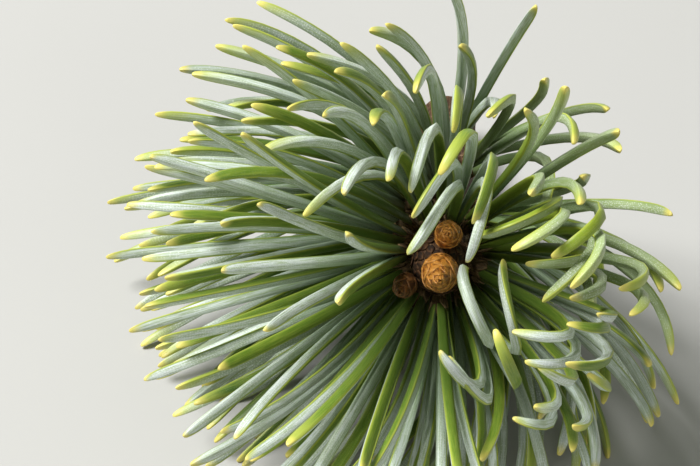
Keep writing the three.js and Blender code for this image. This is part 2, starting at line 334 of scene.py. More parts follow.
class Needle:
    """The centreline of needle k of a bundle, bent by its habit, its own spread and its weight."""

    steps = np.arange(NEEDLE_STEPS + 1) / NEEDLE_STEPS

    def __init__(self, plan, seat, k, draw):
        def play(share):
            return 1 + share * (2 * draw() - 1)

        x = self.steps
        section = math.radians(plan.roll + 360 / NEEDLES_PER_BUNDLE * k)
        roll = section + math.radians(ROLL_PLAY * (2 * draw() - 1))
        self.twist = math.radians(TWIST_PLAY * (2 * draw() - 1))
        arch = plan.arch * play(BEND_PLAY)
        hook = plan.hook * play(BEND_PLAY)
        drift = plan.drift * play(BEND_PLAY)
        spread = plan.spread * play(SPREAD_PLAY)
        self.length = plan.length * play(LENGTH_PLAY)
        around = np.cross(seat.along, seat.out)
        lean = np.radians(plan.lean - arch * x**2 - hook * x**5)
        heading = turned(seat.along, seat.out, lean)
        inner = turned(-seat.out, seat.along, lean)
        self.away = math.cos(section) * around + math.sin(section) * inner
        opening = np.tan(np.radians(spread * (OPEN_AT_BASE + OPEN_GAIN * x)))
        direction = heading + (math.cos(roll) * around + math.sin(roll) * inner) * opening[:, None]
        direction = direction - (ACROSS * drift + UP * plan.sag) * (x**2)[:, None]
        root = seat.foot + heading[0] * FOOT_LENGTH * (1 - ROOT_DEPTH)
        root = root + self.away[0] * NEEDLE_DEPTH * BASE_SHARE * ROOT_SPACING
        moves = unit(direction) * self.length / NEEDLE_STEPS
        moves[0] = root
        self.points = np.cumsum(moves, axis=0)
        past = x > RESTS_FROM
        self.lift = max(0.0, ((reach(x) - self.points[:, 2])[past] / x[past] ** 2).max())
        self.points[:, 2] += self.lift * x**2

    def rods(self):
        """The needle as a chain of short rods, for testing that things keep apart."""
        joints = self.points[:: NEEDLE_STEPS // NEEDLE_RODS]
        radii = reach(self.steps[:: NEEDLE_STEPS // NEEDLE_RODS])
        return Rods(joints[:-1], joints[1:], np.maximum(radii[:-1], radii[1:]))

    def in_cup(self, tip):
        """True if it enters the open cup over the buds, which later needles keep out of."""
        offset = self.points - tip.centre
        height = offset @ tip.along
        side = np.linalg.norm(offset - height[:, None] * tip.along, axis=1)
        return bool(((height >= CUP_ABOVE) & (side < CUP_RADIUS + CUP_FLARE * height)).any())


class Rods:
    """Short straight rods with rounded ends, as arrays of their two ends and radii."""

    def __init__(self, a, b, r):
        self.a = np.asarray(a, float).reshape(-1, 3)
        self.b = np.asarray(b, float).reshape(-1, 3)
        self.r = np.asarray(r, float).reshape(-1)

    def cut(self, first, last=None):
        return Rods(self.a[first:last], self.b[first:last], self.r[first:last])

    def joined(self, *others):
        every = (self, *others)
        return Rods(*(np.concatenate([getattr(rods, part) for rods in every]) for part in "abr"))

    def meet(self, other):
        """True if any rod of one comes closer than the clearance to any rod of the other."""
        first = (other.b - other.a)[None]
        second = (self.b - self.a)[:, None]
        between = other.a[None] - self.a[:, None]
        a = (first * first).sum(-1)
        e = (second * second).sum(-1)
        f = (second * between).sum(-1)
        c = (first * between).sum(-1)
        b = (first * second).sum(-1)
        spare = a * e - b * b
        apart = spare > NEARLY_PARALLEL
        t1 = np.where(apart, np.clip((b * f - c * e) / np.where(apart, spare, 1), 0, 1), 0)
        t2 = (b * t1 + f) / e
        outside = (t2 < 0) | (t2 > 1)
        t2 = np.clip(t2, 0, 1)
        t1 = np.where(outside, np.clip((b * t2 - c) / a, 0, 1), t1)
        gap = np.linalg.norm(between + first * t1[..., None] - second * t2[..., None], axis=-1)
        return bool((gap < self.r[:, None] + other.r[None] + CLEAR).any())


class BudPlace:
    """Where a bud sits and points, with its length, radius and foot radius."""

    def __init__(self, name, size, foot, along):
        self.name = name
        self.length, self.radius, self.foot_radius = size
        self.foot = foot
        self.along = along

    def profile(self, height):
        """The radius at a share of the length."""
        share = np.clip(lerp(BUD_START, 1, np.asarray(height, float)), 0, 1)
        return self.radius * np.sin(np.pi * share**BUD_FULLNESS)


def bud_places():
    tip = StemPlace(STEM_LENGTH)
    places = [BudPlace("bud_tip", TIP_BUD, tip.centre + tip.along * SEAT_GAP, tip.along)]
    for number, (size, azimuth, below, lean) in enumerate(SIDE_BUDS, 1):
        shoulder = StemPlace(STEM_LENGTH - below)
        out = shoulder.outwards(azimuth)
        foot = shoulder.centre + out * (shoulder.radius + SIDE_BUD_GAP + size[2])
        along = turned(shoulder.along, out, math.radians(lean))
        places.append(BudPlace(f"bud_side_{number}", size, foot, along))
    return places


def limb_rods():
    """The stem and the buds as rods, the stem's first."""
    joints = StemPlace(STEM_LENGTH * np.arange(STEM_RODS + 1) / STEM_RODS)
    stem = Rods(joints.centre[:-1], joints.centre[1:], joints.radius[:-1] + SEAT_GAP)
    buds = bud_places()
    tips = [bud.foot + bud.along * (bud.length - bud.radius) for bud in buds]
    return stem.joined(Rods([bud.foot for bud in buds], tips, [bud.radius + SEAT_GAP for bud in buds]))


class Bundle:
    """One try at a bundle: its foot and those of its needles that find room."""

    def __init__(self, index, attempt, taken, tip):
        draw = stream(SEED + index * SEED_PER_BUNDLE + attempt * SEED_PER_TRY)
        plan = BundlePlan(index, draw, attempt / TRIES)
        self.seat = Seat(plan)
        self.needles = []
        foot_end = self.seat.foot + self.seat.heading * FOOT_LENGTH
        self.rods = Rods(self.seat.foot, foot_end, FOOT_RADIUS)
        beside_stem = taken.cut(STEM_RODS)
        blocked = beside_stem.meet(self.rods)
        for k in range(NEEDLES_PER_BUNDLE):
            needle = Needle(plan, self.seat, k, draw)
            if needle.lift >= MOST_LIFT or (index >= len(CROWN) and needle.in_cup(tip)):
                continue
            rods = needle.rods()
            if not (beside_stem.meet(rods.cut(0, 1)) or taken.meet(rods.cut(1))):
                self.needles.append(needle)
        self.score = 0 if blocked else len(self.needles)


def grow_bundles():
    """Every bundle, from the tip down. Each takes the place where it keeps the most needles."""
    taken = limb_rods()
    tip = StemPlace(STEM_LENGTH)
    bundles = []
    for index in range(BUNDLE_COUNT):
        best = None
        for attempt in range(TRIES):
            bundle = Bundle(index, attempt, taken, tip)
            if bundle.score > (best.score if best else 0):
                best = bundle
            if best and best.score == NEEDLES_PER_BUNDLE:
                break
        if best and best.score >= FEWEST_NEEDLES:
            taken = taken.joined(best.rods, *(needle.rods() for needle in best.needles))
            bundles.append(best)
    return bundles


def frame_shift():
    """The move from the rule's own place to the frame's, in metres, read from the cut end."""
    cut = next(m for m in frame["record"]["mounts"] if m["name"] == "cut_end")
    return np.array(cut["pos_m"], float) - StemPlace(0).centre * MM


SHIFT = frame_shift()


# Of the circle that a tube is drawn up from: only its end points lie nearer to the axis
HALF_RADIUS = 0.5


class TubeTemplate:
    """A tube of rings with both ends closed by a fan, drawn up from a circle.

    It gives each corner's ring and side, so that a joined mesh of many such tubes is made from
    arrays. Side 0 lies on +X, and the sides count anticlockwise seen from the end. Where the
    circle's corners lie half a step off, as with 10 or 14 sides, some of them come to the same side,
    and the faces between them have no width.
    """

    def __init__(self, sides, rings):
        self.sides = sides
        self.rings = rings
        bm = bmesh.new()
        bmesh.ops.create_circle(bm, cap_ends=False, segments=sides, radius=1.0)
        edges = list(bm.edges)
        for _ in range(rings - 1):
            made = bmesh.ops.extrude_edge_only(bm, edges=edges)["geom"]
            edges = [part for part in made if isinstance(part, bmesh.types.BMEdge)]
            verts = [part for part in made if isinstance(part, bmesh.types.BMVert)]
            bmesh.ops.translate(bm, verts=verts, vec=(0, 0, 1))
        open_edges = [edge for edge in bm.edges if edge.is_boundary]
        caps = bmesh.ops.holes_fill(bm, edges=open_edges, sides=sides)["faces"]
        bmesh.ops.poke(bm, faces=caps)
        bmesh.ops.recalc_face_normals(bm, faces=bm.faces)
        verts = sorted(bm.verts, key=self._order)
        for index, vert in enumerate(verts):
            vert.index = index
        self.places = [self._place(vert.co) for vert in verts]
        self.faces = sorted([vert.index for vert in face.verts] for face in bm.faces)
        bm.free()
        self.corners = [self._unrolled(face) for face in self.faces]
        self.columns = [min(side for _, side, pole in face if not pole) for face in self.corners]

    def _place(self, co):
        ring = round(co.z)
        if co.xy.length < HALF_RADIUS:
            return (ring, -1)
        return (ring, round(math.atan2(co.y, co.x) / math.tau * self.sides) % self.sides)

    def _order(self, vert):
        """Sorts corners by their place, and those that share one by their angle."""
        return (*self._place(vert.co), math.atan2(vert.co.y, vert.co.x))

    def _unrolled(self, face):
        """Ring, side and whether it is an end point for each corner, with no jump across the seam."""
        sides = [self.places[index][1] for index in face]
        real = [side for side in sides if side >= 0]
        if max(real) - min(real) > 1:
            sides = [self.sides if side == 0 else side for side in sides]
            real = [side for side in sides if side >= 0]
        middle = sum(real) / len(real)
        return [
            (self.places[index][0], middle if side < 0 else side, side < 0)
            for index, side in zip(face, sides)
        ]

    def crest(self, ring, side):
        """How much a place stands out and wears, from 0 to 1. Side -1 is an end point."""
        return 0.0


# How far an end point lies from the last ring in the bake's map, in rows of it
POLE_ROW = 0.9


class JoinedTubes:
    """Many tubes in one mesh, each with its own place, slots, pattern map and part of the bake's map."""

    def __init__(self):
        self.coords = []
        self.faces = []
        self.pattern = []
        self.bake = []
        self.slots = []
        self.vigour = []
        self.crests = []

    def add(self, template, rings, ends, across, along, cell, slots, vigour):
        """One tube.

        rings is an array of each ring's corners and ends its two end points. across holds two
        pattern places for each column of faces and along one for each ring and then each end,
        both in millimetres. cell is its part of the bake's map, and slots one for each column.
        """
        start = len(self.coords)
        left, low, width, tall = cell
        for ring, side in template.places:
            self.coords.append(ends[ring > 0] if side < 0 else rings[ring][side])
            self.vigour.append(vigour)
            self.crests.append(template.crest(ring, side))
        self.faces.extend([start + index for index in face] for face in template.faces)
        for column, corners in zip(template.columns, template.corners):
            self.slots.append(slots[column])
            for ring, side, pole in corners:
                row = ring + 1
                place = along[ring]
                if pole:
                    row += POLE_ROW if ring else -POLE_ROW
                    place = along[template.rings + (ring > 0)]
                self.pattern.append((lerp(*across[column], side - column), place))
                upwards = row / (template.rings + 1)
                self.bake.append((left + width * side / template.sides, low + tall * upwards))

    def add_scale(self, body, angle, height, length, half_width, proud, cell, slot, vigour):
        """One scale on a body, placed as scale_rings says."""
        rings, ends = scale_rings(body, angle, height, length, half_width, proud)
        along = np.append(SCALE_TUBE.heights, (0.0, 1.0)) * length
        across = SCALE_TUBE.across(half_width)
        self.add(SCALE_TUBE, rings, ends, across, along, cell, [slot] * SCALE_TUBE.sides, vigour)

    def add_core(self, template, body, heights, radii, top, girth, cell, slot, vigour):
        """One round core on a body's axis, by its rings' heights and radii and its top's height."""
        centres = body.at(heights)
        rings = centres[:, None] + body.out(corner_angles(template)) * radii[:, None, None]
        across = pairs(girth / template.sides * np.arange(template.sides + 1))
        along = np.append(heights, (heights[0], top))
        ends = (centres[0], body.at(top))
        self.add(template, rings, ends, across, along, cell, [slot] * template.sides, vigour)

    def mesh(self, name):
        """The joined mesh in metres, in the frame's place."""
        mesh = bpy.data.meshes.new(name)
        coords = np.array(self.coords) * MM + SHIFT
        mesh.from_pydata(coords.tolist(), [], self.faces)
        mesh.polygons.foreach_set("use_smooth", np.ones(len(self.faces), bool))
        mesh.polygons.foreach_set("material_index", np.array(self.slots, np.int32))
        for label, places in ((BAKE_MAP, self.bake), (GROWTH_MAP, self.pattern)):
            layer = mesh.uv_layers.new(name=label)
            layer.data.foreach_set("uv", np.array(places, np.float32).ravel())
        for label, values in ((VIGOUR, self.vigour), (RELIEF, self.crests)):
            attribute = mesh.attributes.new(label, "FLOAT", "POINT")
            attribute.data.foreach_set("value", np.array(values, np.float32))
        mesh.uv_layers.active = mesh.uv_layers[BAKE_MAP]
        mesh.validate()
        mesh.update()
        return mesh


def add_object(name, data):
    made = bpy.data.objects.new(name, data)
    bpy.context.scene.collection.objects.link(made)
    return made


def add_piece(mesh, materials, node):
    """A finished piece with the given materials, which stands for a solid if given one."""
    piece = add_object(mesh.name, mesh)
    for material in materials:
        mesh.materials.append(material)
    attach(piece, "root")
    if node:
        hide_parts(node)


def solid(colour):
    return (*colour, 1.0)


def blend(first, second, share):
    """A colour part of the way from one to another."""
    return [lerp(a, b, share) for a, b in zip(first, second)]


def paint(red, green, blue):
    """A colour given as it looks on a screen, from 0 to 255, as the light that it stands for."""
    shares = (red / 255, green / 255, blue / 255)
    return tuple(c / 12.92 if c <= 0.04045 else ((c + 0.055) / 1.055) ** 2.4 for c in shares)


# Numbers of the mix node's two colour inputs and its colour output, whose names others share
MIX_FIRST, MIX_SECOND, MIX_RESULT = 6, 7, 2


class Graph:
    """Adds the nodes of one material or group and joins them."""

    def __init__(self, tree):
        self.tree = tree
        self.nodes = tree.nodes

    def node(self, kind, label, **settings):
        made = self.nodes.new(kind)
        made.label = label
        for key, value in settings.items():
            setattr(made, key, value)
        return made

    def feed(self, socket, value):
        if isinstance(value, bpy.types.NodeSocket):
            self.tree.links.new(value, socket)
        else:
            socket.default_value = value

    def give(self, made, values):
        """Feeds a node's inputs by their names."""
        for socket, value in values.items():
            self.feed(made.inputs[socket], value)
        return made

    def fed(self, made, *values):
        """The first output of a node whose first inputs are given values."""
        for socket, value in zip(made.inputs, values):
            self.feed(socket, value)
        return made.outputs[0]

    def math(self, label, operation, *values):
        return self.fed(self.node("ShaderNodeMath", label, operation=operation), *values)

    def times(self, label, *values):
        return self.math(label, "MULTIPLY", *values)

    def line(self, label, value, slope, start):
        """A start plus a value times a slope."""
        return self.math(label, "MULTIPLY_ADD", value, slope, start)

    def smooth(self, label, value, low, high, out_low=0.0, out_high=1.0):
        """A soft step from one value to another as the input goes from low to high."""
        made = self.node("ShaderNodeMapRange", label, interpolation_type="SMOOTHSTEP")
        return self.fed(made, value, low, high, out_low, out_high)

    def mix(self, label, share, first, second):
        made = self.node("ShaderNodeMix", label, data_type="RGBA")
        self.feed(made.inputs["Factor"], share)
        self.feed(made.inputs[MIX_FIRST], first)
        self.feed(made.inputs[MIX_SECOND], second)
        return made.outputs[MIX_RESULT]

    def join(self, label, x, y, z):
        return self.fed(self.node("ShaderNodeCombineXYZ", label), x, y, z)

    def stretched(self, label, place, factors, own):
        """A place on the surface with its two parts stretched, and the piece's own number."""
        x = self.times(f"{label} across", place[0], factors[0])
        y = self.times(f"{label} along", place[1], factors[1])
        return self.join(label, x, y, own)

    def noise(self, label, vector, detail, roughness=0.55):
        values = {"Vector": vector, "Scale": 1.0, "Detail": detail, "Roughness": roughness}
        return self.give(self.node("ShaderNodeTexNoise", label), values).outputs[0]

    def cells(self, label, vector, randomness):
        values = {"Vector": vector, "Scale": 1.0, "Randomness": randomness}
        return self.give(self.node("ShaderNodeTexVoronoi", label), values).outputs["Distance"]

    def growth(self):
        """The two pattern places of the surface, across and along, in millimetres."""
        found = self.node("ShaderNodeUVMap", "place on the surface", uv_map=GROWTH_MAP)
        parts = self.node("ShaderNodeSeparateXYZ", "across and along")
        self.tree.links.new(found.outputs[0], parts.inputs[0])
        return parts.outputs[0], parts.outputs[1]

    def attribute(self, name):
        return self.node("ShaderNodeAttribute", name, attribute_name=name).outputs["Fac"]

    def dress(self, shader, colour, roughness, height, bump):
        """Gives a shader its colour, roughness and relief of some strength and depth in millimetres."""
        strength, depth = bump
        values = {"Strength": strength, "Distance": depth * MM, "Height": height}
        relief = self.give(self.node("ShaderNodeBump", "relief"), values).outputs[0]
        self.give(shader, {"Base Color": colour, "Roughness": roughness, "Normal": relief})


SKIN_OUTPUTS = ("Colour", "Roughness", "Height")
SHINE = "Specular IOR Level"


def new_group(name, colours, numbers):
    """A skin's group with named inputs: the group, its graph, its inputs and its node of results."""
    tree = bpy.data.node_groups.new(name, "ShaderNodeTree")
    sockets = [(label, "INPUT", label in colours) for label in (*colours, *numbers)]
    sockets += [(label, "OUTPUT", label == "Colour") for label in SKIN_OUTPUTS]
    for label, way, coloured in sockets:
        kind = "NodeSocketColor" if coloured else "NodeSocketFloat"
        tree.interface.new_socket(name=label, in_out=way, socket_type=kind)
    graph = Graph(tree)
    given = graph.node("NodeGroupInput", "given").outputs
    return tree, graph, given, graph.node("NodeGroupOutput", "result")


def needle_skin_group(name):
    """The skin of a needle: streaks, rows of pores, pale margins, the change to its tip, and a darker,
    greener root that is partly painted shade.
    """
    tree, graph, given, result = new_group(
        name,
        ("Face", "Margin", "Near tip", "Tip", "Root and shade", "Pore"),
        ("Face width", "Margin width", "Streaks", "Pores", "Tip length", "Smoothness"),
    )
    place = graph.growth()
    across, from_tip = place
    vigour = graph.attribute(VIGOUR)
    own = graph.times("own pattern", vigour, 61.0)
    half = graph.times("half of the face", given["Face width"], 0.5)
    inwards = graph.math("distance from the margin", "PINGPONG", across, half)
    margin = graph.smooth("margin", inwards, 0.01, given["Margin width"], 1.0, 0.0)

    fine = graph.stretched("fine", place, (11.0, 0.42), own)
    streaks = graph.smooth("streaks", graph.noise("streaks", fine, 2.0, 0.6), 0.38, 0.64)
    broad = graph.stretched("broad", place, (1.6, 0.55), own)
    patches = graph.noise("patches", broad, 3.0, 0.6)
    rows = graph.stretched("rows", place, (6.0, 3.4), own)
    pores = graph.smooth("pores", graph.cells("pores", rows, 0.55), 0.1, 0.42, 1.0, 0.0)

    bare = graph.times("bare streaks", streaks, given["Streaks"])
    colour = graph.mix("streaked", bare, given["Face"], given["Margin"])
    dotted = graph.times("dotted", pores, given["Pores"])
    colour = graph.mix("pores", dotted, colour, given["Pore"])
    colour = graph.mix("margins", margin, colour, given["Margin"])
    # Towards the foot the colour goes to the root colour: partly the greener base of the needle, partly
    # painted shade of the cup between the bundles
    root = graph.times("root", graph.smooth("root", from_tip, 6.0, 22.0), 0.72)
    colour = graph.mix("root", root, colour, given["Root and shade"])

    ragged = graph.line("ragged", patches, 1.6, -0.8)
    on_margins = graph.times("further on margins", inwards, 1.6)
    uneven = graph.math("uneven", "ADD", ragged, on_margins)
    to_tip = graph.math("to the tip", "ADD", from_tip, uneven)
    own_end = graph.line("play of the end", vigour, 1.7, 0.4)
    own_end = graph.times("own end", own_end, given["Tip length"])
    near = graph.smooth("near the tip", to_tip, 0.6, own_end, 0.85, 0.0)
    colour = graph.mix("near the tip", near, colour, given["Near tip"])
    end = graph.times("end of the tip", given["Tip length"], 0.42)
    tip = graph.smooth("tip", graph.line("end", ragged, 0.4, from_tip), 0.0, end, 1.0, 0.0)
    colour = graph.mix("tip", tip, colour, given["Tip"])
    value = graph.line("patchy", patches, 0.2, graph.line("vigour", vigour, 0.22, 0.8))
    shade = graph.node("ShaderNodeHueSaturation", "shade")
    colour = graph.give(shade, {"Value": value, "Color": colour}).outputs[0]

    dull = graph.line("dull where waxy", pores, 0.16, given["Smoothness"])
    dull = graph.line("dull patches", patches, 0.18, dull)
    ridges = graph.times("ridges", streaks, 0.5)
    height = graph.line("height", pores, given["Pores"], ridges)
    graph.give(result, {"Colour": colour, "Roughness": dull, "Height": height})
    return tree


def dry_skin_group(name):
    """Dry scale and bark: fibres along the growth, darker hollows and pale worn flecks."""
    tree, graph, given, result = new_group(
        name, ("Body", "Hollow", "Worn"), ("Fibres across", "Fibres along", "Flecks", "Smoothness")
    )
    place = graph.growth()
    own = graph.times("own pattern", graph.attribute(VIGOUR), 43.0)
    fine = graph.stretched("fine", place, (given["Fibres across"], given["Fibres along"]), own)
    fibres = graph.noise("fibres", fine, 4.0, 0.62)
    patches = graph.noise("patches", graph.stretched("broad", place, (0.9, 0.7), own), 3.0, 0.6)

    dark = graph.smooth("dark fibres", fibres, 0.36, 0.6)
    body = graph.mix("fibres", dark, given["Hollow"], given["Body"])
    shade = graph.smooth("patches", patches, 0.35, 0.62)
    body = graph.mix("patches", shade, graph.mix("dull", 0.55, body, given["Hollow"]), body)
    raised = graph.times("on crests", graph.attribute(RELIEF), 0.45)
    specks = graph.math("specks", "ADD", fibres, raised)
    flecks = graph.times("flecks", graph.smooth("flecks", specks, 0.56, 0.8), given["Flecks"])
    colour = graph.mix("worn", flecks, body, given["Worn"])
    dull = graph.line("dull", patches, 0.25, given["Smoothness"])
    height = graph.line("height", patches, 0.4, fibres)
    graph.give(result, {"Colour": colour, "Roughness": dull, "Height": height})
    return tree


SKINS = {"needle_skin": needle_skin_group, "dry_skin": dry_skin_group}


def new_surface(name):
    """A new material with its graph and its shader."""
    material = bpy.data.materials.new(name)
    material.use_nodes = True
    graph = Graph(material.node_tree)
    return material, graph, graph.nodes["Principled BSDF"]


def skin_material(name, skin, values, bump, plain):
    """A material whose colour, roughness and relief come from a shared group, with plain values."""
    material, graph, shader = new_surface(name)
    group = bpy.data.node_groups.get(skin) or SKINS[skin](skin)
    surface = graph.give(graph.node("ShaderNodeGroup", name, node_tree=group), values)
    graph.dress(shader, *(surface.outputs[label] for label in SKIN_OUTPUTS), bump)
    graph.give(shader, plain)
    material.diffuse_color = next(iter(values.values()))
    return material


def dry_material(name, colours, fibres, flecks, smoothness, bump, plain):
    """Dry scale or bark, by the colours of its body, hollows and worn places and by its fibres."""
    values = dict(zip(("Body", "Hollow", "Worn"), map(solid, colours)))
    values.update(zip(("Fibres across", "Fibres along"), fibres))
    values.update({"Flecks": flecks, "Smoothness": smoothness})
    return skin_material(name, "dry_skin", values, bump, plain)


def colour_property(name, description, red, green, blue):
    return FloatVectorProperty(
        name=name,
        description=description,
        subtype="COLOR",
        size=3,
        min=0.0,
        max=1.0,
        default=paint(red, green, blue),
    )


def number_property(kind, name, description, default, low, high, **more):
    """A FloatProperty or IntProperty with its default and its limits."""
    return kind(name=name, description=description, default=default, min=low, max=high, **more)


def length_property(name, description, default, low, high):
    """A length in the scene's own unit."""
    more = {"subtype": "DISTANCE", "unit": "LENGTH"}
    return number_property(FloatProperty, name, description, default, low, high, **more)


MOST_POWER = 200.0


def power_property(name, description, default):
    return number_property(FloatProperty, name, description, default, 0.0, MOST_POWER, unit="POWER")


class NeedleLook(PropertyGroup):
    """Sizes and colours of the needles."""

    wax: colour_property("Wax", "Blue-white bloom on the two inner faces", 216, 225, 222)
    pore: colour_property("Pore", "White wax on each pore", 248, 251, 248)
    under_wax: colour_property("Under the wax", "Green that shows between the rows", 112, 144, 78)
    green_fresh: colour_property("Fresh green", "Outer face of the youngest needles", 136, 158, 38)
    green: colour_property("Green", "Outer face of most needles", 98, 128, 36)
    green_deep: colour_property("Deep green", "Outer face of the lower needles", 68, 100, 34)
    margin: colour_property("Margin", "The two rounded edges", 186, 194, 82)
    near_tip: colour_property("Near the tip", "Yellow-green before the end", 180, 190, 84)
    tip: colour_property("Tip", "Blunt yellow end", 230, 214, 112)
    # The two root colours are partly the greener base of the needles and partly painted shade, darker
    # towards the cup
    root_wax_and_shade: colour_property("Waxy root and shade", "Inner faces towards the foot", 94, 124, 66)
    root_green_and_shade: colour_property("Green root and shade", "Outer face towards the foot", 64, 92, 32)
    thin_wax: number_property(
        FloatProperty,
        "Thin wax",
        "How far the green shows through the wax of the fresh needles",
        0.65,
        0.0,
        1.0,
        subtype="FACTOR",
    )
    tip_length: number_property(
        FloatProperty,
        "Tip length",
        "How far the yellow-green of the end reaches, in millimetres",
        3.8,
        0.2,
        6.0,
    )
    bulge: number_property(
        FloatProperty,
        "Bulge",
        "How far the outer face is rounded, as a share of the needle's depth",
        0.25,
        0.0,
        0.4,
    )


class StemLook(PropertyGroup):
    """Relief and colours of the stem and its cut."""

    bark: colour_property("Bark", "Body of the bark", 100, 74, 50)
    hollow: colour_property("Hollows", "Hollows of the bark", 58, 38, 26)
    worn: colour_property("Worn bark", "Pale flakes on the crests", 158, 132, 102)
    wood: colour_property("Cut wood", "Fresh wood of the cut", 214, 184, 134)
    wood_late: colour_property("Late wood", "Darker end of each year's ring", 172, 128, 80)
    pith: colour_property("Pith", "Middle of the cut", 120, 76, 42)
    cushion: number_property(
        FloatProperty, "Cushion", "Height under each bundle, in millimetres", 0.46, 0.0, 1.0
    )
    wrinkle: number_property(
        FloatProperty, "Wrinkles", "Height of the bark's wrinkles, in millimetres", 0.12, 0.0, 0.5
    )


class BudLook(PropertyGroup):
    """Scales and colours of the buds."""

    scale_body: colour_property("Scale", "Body of a bud scale", 196, 124, 38)
    scale_dark: colour_property("Scale base", "Between the scales", 106, 54, 12)
    scale_edge: colour_property("Scale edge", "Papery edges and worn places", 216, 156, 74)
    # The dim colours are a darker copy of the scale colours: painted shade on the smallest bud, which
    # lies under the needles
    shaded_body: colour_property("Dim scale", "Body of a scale on the smallest bud", 108, 66, 24)
    shaded_dark: colour_property("Dim scale base", "Between the scales of the smallest bud", 60, 36, 16)
    shaded_edge: colour_property("Dim scale edge", "Papery edges on the smallest bud", 138, 94, 46)
    # The collar colours are brown old scales made darker still: partly their own colour, partly painted
    # shade of the cup under the buds
    collar_body_and_shade: colour_property("Collar scale", "Body of the old scales under the buds", 62, 38, 18)
    collar_dark_and_shade: colour_property("Collar base", "Between the old scales", 32, 20, 10)
    collar_edge_and_shade: colour_property("Collar edge", "Papery edges of the old scales", 98, 66, 36)
    tip_scales: number_property(
        IntProperty, "Scales on the end bud", "How many cover the bud on the end of the stem", 28, 12, 120
    )
    side_scales: number_property(
        IntProperty, "Scales on a side bud", "How many cover each bud beside it", 21, 12, 120
    )
    collar_scales: number_property(
        IntProperty, "Scales of the collar", "How many old ones cover the end of the stem", 96, 12, 200
    )


class StageLook(PropertyGroup):
    """Floor, light and camera."""

    floor: colour_property("Floor", "Plain pale floor", 184, 183, 180)
    sky: FloatVectorProperty(
        name="Sky",
        description="Colour of the light from all round",
        subtype="COLOR",
        size=3,
        min=0.0,
        max=1.0,
        default=(0.93, 1.0, 0.86),
    )
    sky_strength: number_property(
        FloatProperty, "Sky strength", "Strength of the light from all round", 0.2, 0.0, 2.0
    )
    key_power: power_property("Key light", "Power of the large light over the left shoulder", 16.0)
    fill_power: power_property("Fill light", "Power of the large light on the right", 0.7)
    distance: length_property("Camera distance", "From the end bud to the camera", 0.26, 0.1, 2.0)
    width: length_property("Picture width", "What it shows across the end bud", 0.0645, 0.01, 1.0)


# A needle's section has a narrow keel towards the bundle's middle, an inner face on each side of
# it, two rounded margins and the outer face. The stations are the places of its rings, and the end
# is the blunter the higher its power. Widths and the places of corners on them are in millimetres
STATIONS = np.array((0, 3, 6, 9, 12, 15, 18, 20.5, 22.5, 24.2, 25.5, 26.5, 27.2, 27.65, 27.9))
BLUNT_POWER = 4.6
WAX_WIDTH = 0.9
BACK_WIDTH = 1.26
EDGE_WIDTH = 0.12
WAX_SLOT, BACK_SLOT, EDGE_SLOT, FOOT_SLOT, BRACT_SLOT = range(5)
NEEDLE_COLUMN_SLOTS = (
    (WAX_SLOT, WAX_SLOT, EDGE_SLOT) + (BACK_SLOT,) * 4 + (EDGE_SLOT, WAX_SLOT, WAX_SLOT, WAX_SLOT)
)
ON_WAX = [share * WAX_WIDTH for share in (0.0, 0.45, 0.92, 1.08)]
ON_BACK = [share * BACK_WIDTH for share in (0.0, 0.25, 0.5, 0.75, 1.0)]
ON_EDGE = [(0.0, EDGE_WIDTH)]
NEEDLE_ACROSS = pairs(ON_WAX[2::-1]) + ON_EDGE + pairs(ON_BACK) + ON_EDGE + pairs(ON_WAX)


def needle_section(bulge):
    """The outline of a full needle in shares of its depth and half width, from one side of the keel."""
    third = 1 / 3
    half = (
        (2 * third - 0.035, 0.085),
        (third * 0.62, 0.6),
        (-third + 0.075, 0.975),
        (-third - 0.05, 0.985),
        (-third - bulge * 0.76, 0.53),
    )
    back = ((-third - bulge, 0.0),)
    return np.array(half + back + tuple((depth, -side) for depth, side in half[::-1]))


def bluntness(x):
    """How much of the full section is left towards the end, which is blunter than the solid's."""
    past_end = np.clip((x - END_BEGINS) / (1 - END_BEGINS), 0, 1)
    return np.sqrt(1 - past_end**BLUNT_POWER)


def at_stations(values, stations):
    """Values of the rule's steps at places between them, on a smooth curve through the steps."""
    low = np.clip(np.floor(stations).astype(int), 0, NEEDLE_STEPS - 1)
    t = (stations - low)[:, None]
    before = values[np.maximum(low - 1, 0)]
    after = values[np.minimum(low + 2, NEEDLE_STEPS)]
    first = values[low]
    second = values[low + 1]
    return 0.5 * (
        2 * first
        + (second - before) * t
        + (2 * before - 5 * first + 4 * second - after) * t**2
        + (3 * first - before - 3 * second + after) * t**3
    )


def needle_rings(needle, section):
    """The corners of a needle's rings and its two end points."""
    x = STATIONS / NEEDLE_STEPS
    points = at_stations(needle.points, STATIONS)
    ahead = at_stations(needle.points, np.minimum(STATIONS + 0.5, NEEDLE_STEPS))
    behind = at_stations(needle.points, np.maximum(STATIONS - 0.5, 0))
    along = unit(ahead - behind)
    away = at_stations(needle.away, STATIONS)
    inner = -unit(away - (away * along).sum(1, keepdims=True) * along)
    twist = (needle.twist * x)[:, None]
    inner = inner * np.cos(twist) + np.cross(along, inner) * np.sin(twist)
    side = np.cross(along, inner)
    size = (swelling(x) * bluntness(x))[:, None, None]
    depth = inner[:, None] * section[None, :, :1] * NEEDLE_DEPTH
    width = side[:, None] * section[None, :, 1:] * NEEDLE_HALF_WIDTH
    return points[:, None] + (depth + width) * size, (points[0], needle.points[-1])


SCALE_SIDES = 8


class ScaleTemplate(TubeTemplate):
    """A thin pointed scale, such as a bract or a bud scale."""

    heights = np.array((0.0, 0.22, 0.45, 0.65, 0.82, 0.94))
    widths = np.array((0.72, 0.95, 1.0, 0.82, 0.5, 0.2))

    def __init__(self):
        super().__init__(SCALE_SIDES, len(self.heights))

    def across(self, half_width):
        """Pattern places of each column, from one edge to the other on both sides."""
        return pairs(half_width * np.sin(math.tau * np.arange(self.sides + 1) / self.sides))

    def crest(self, ring, side):
        """The thin edges and the tip of a scale wear to pale paper."""
        edge = 1.0 if side < 0 else abs(math.sin(math.tau * side / self.sides)) ** 3
        return max(edge, float(self.heights[ring]) ** 3)


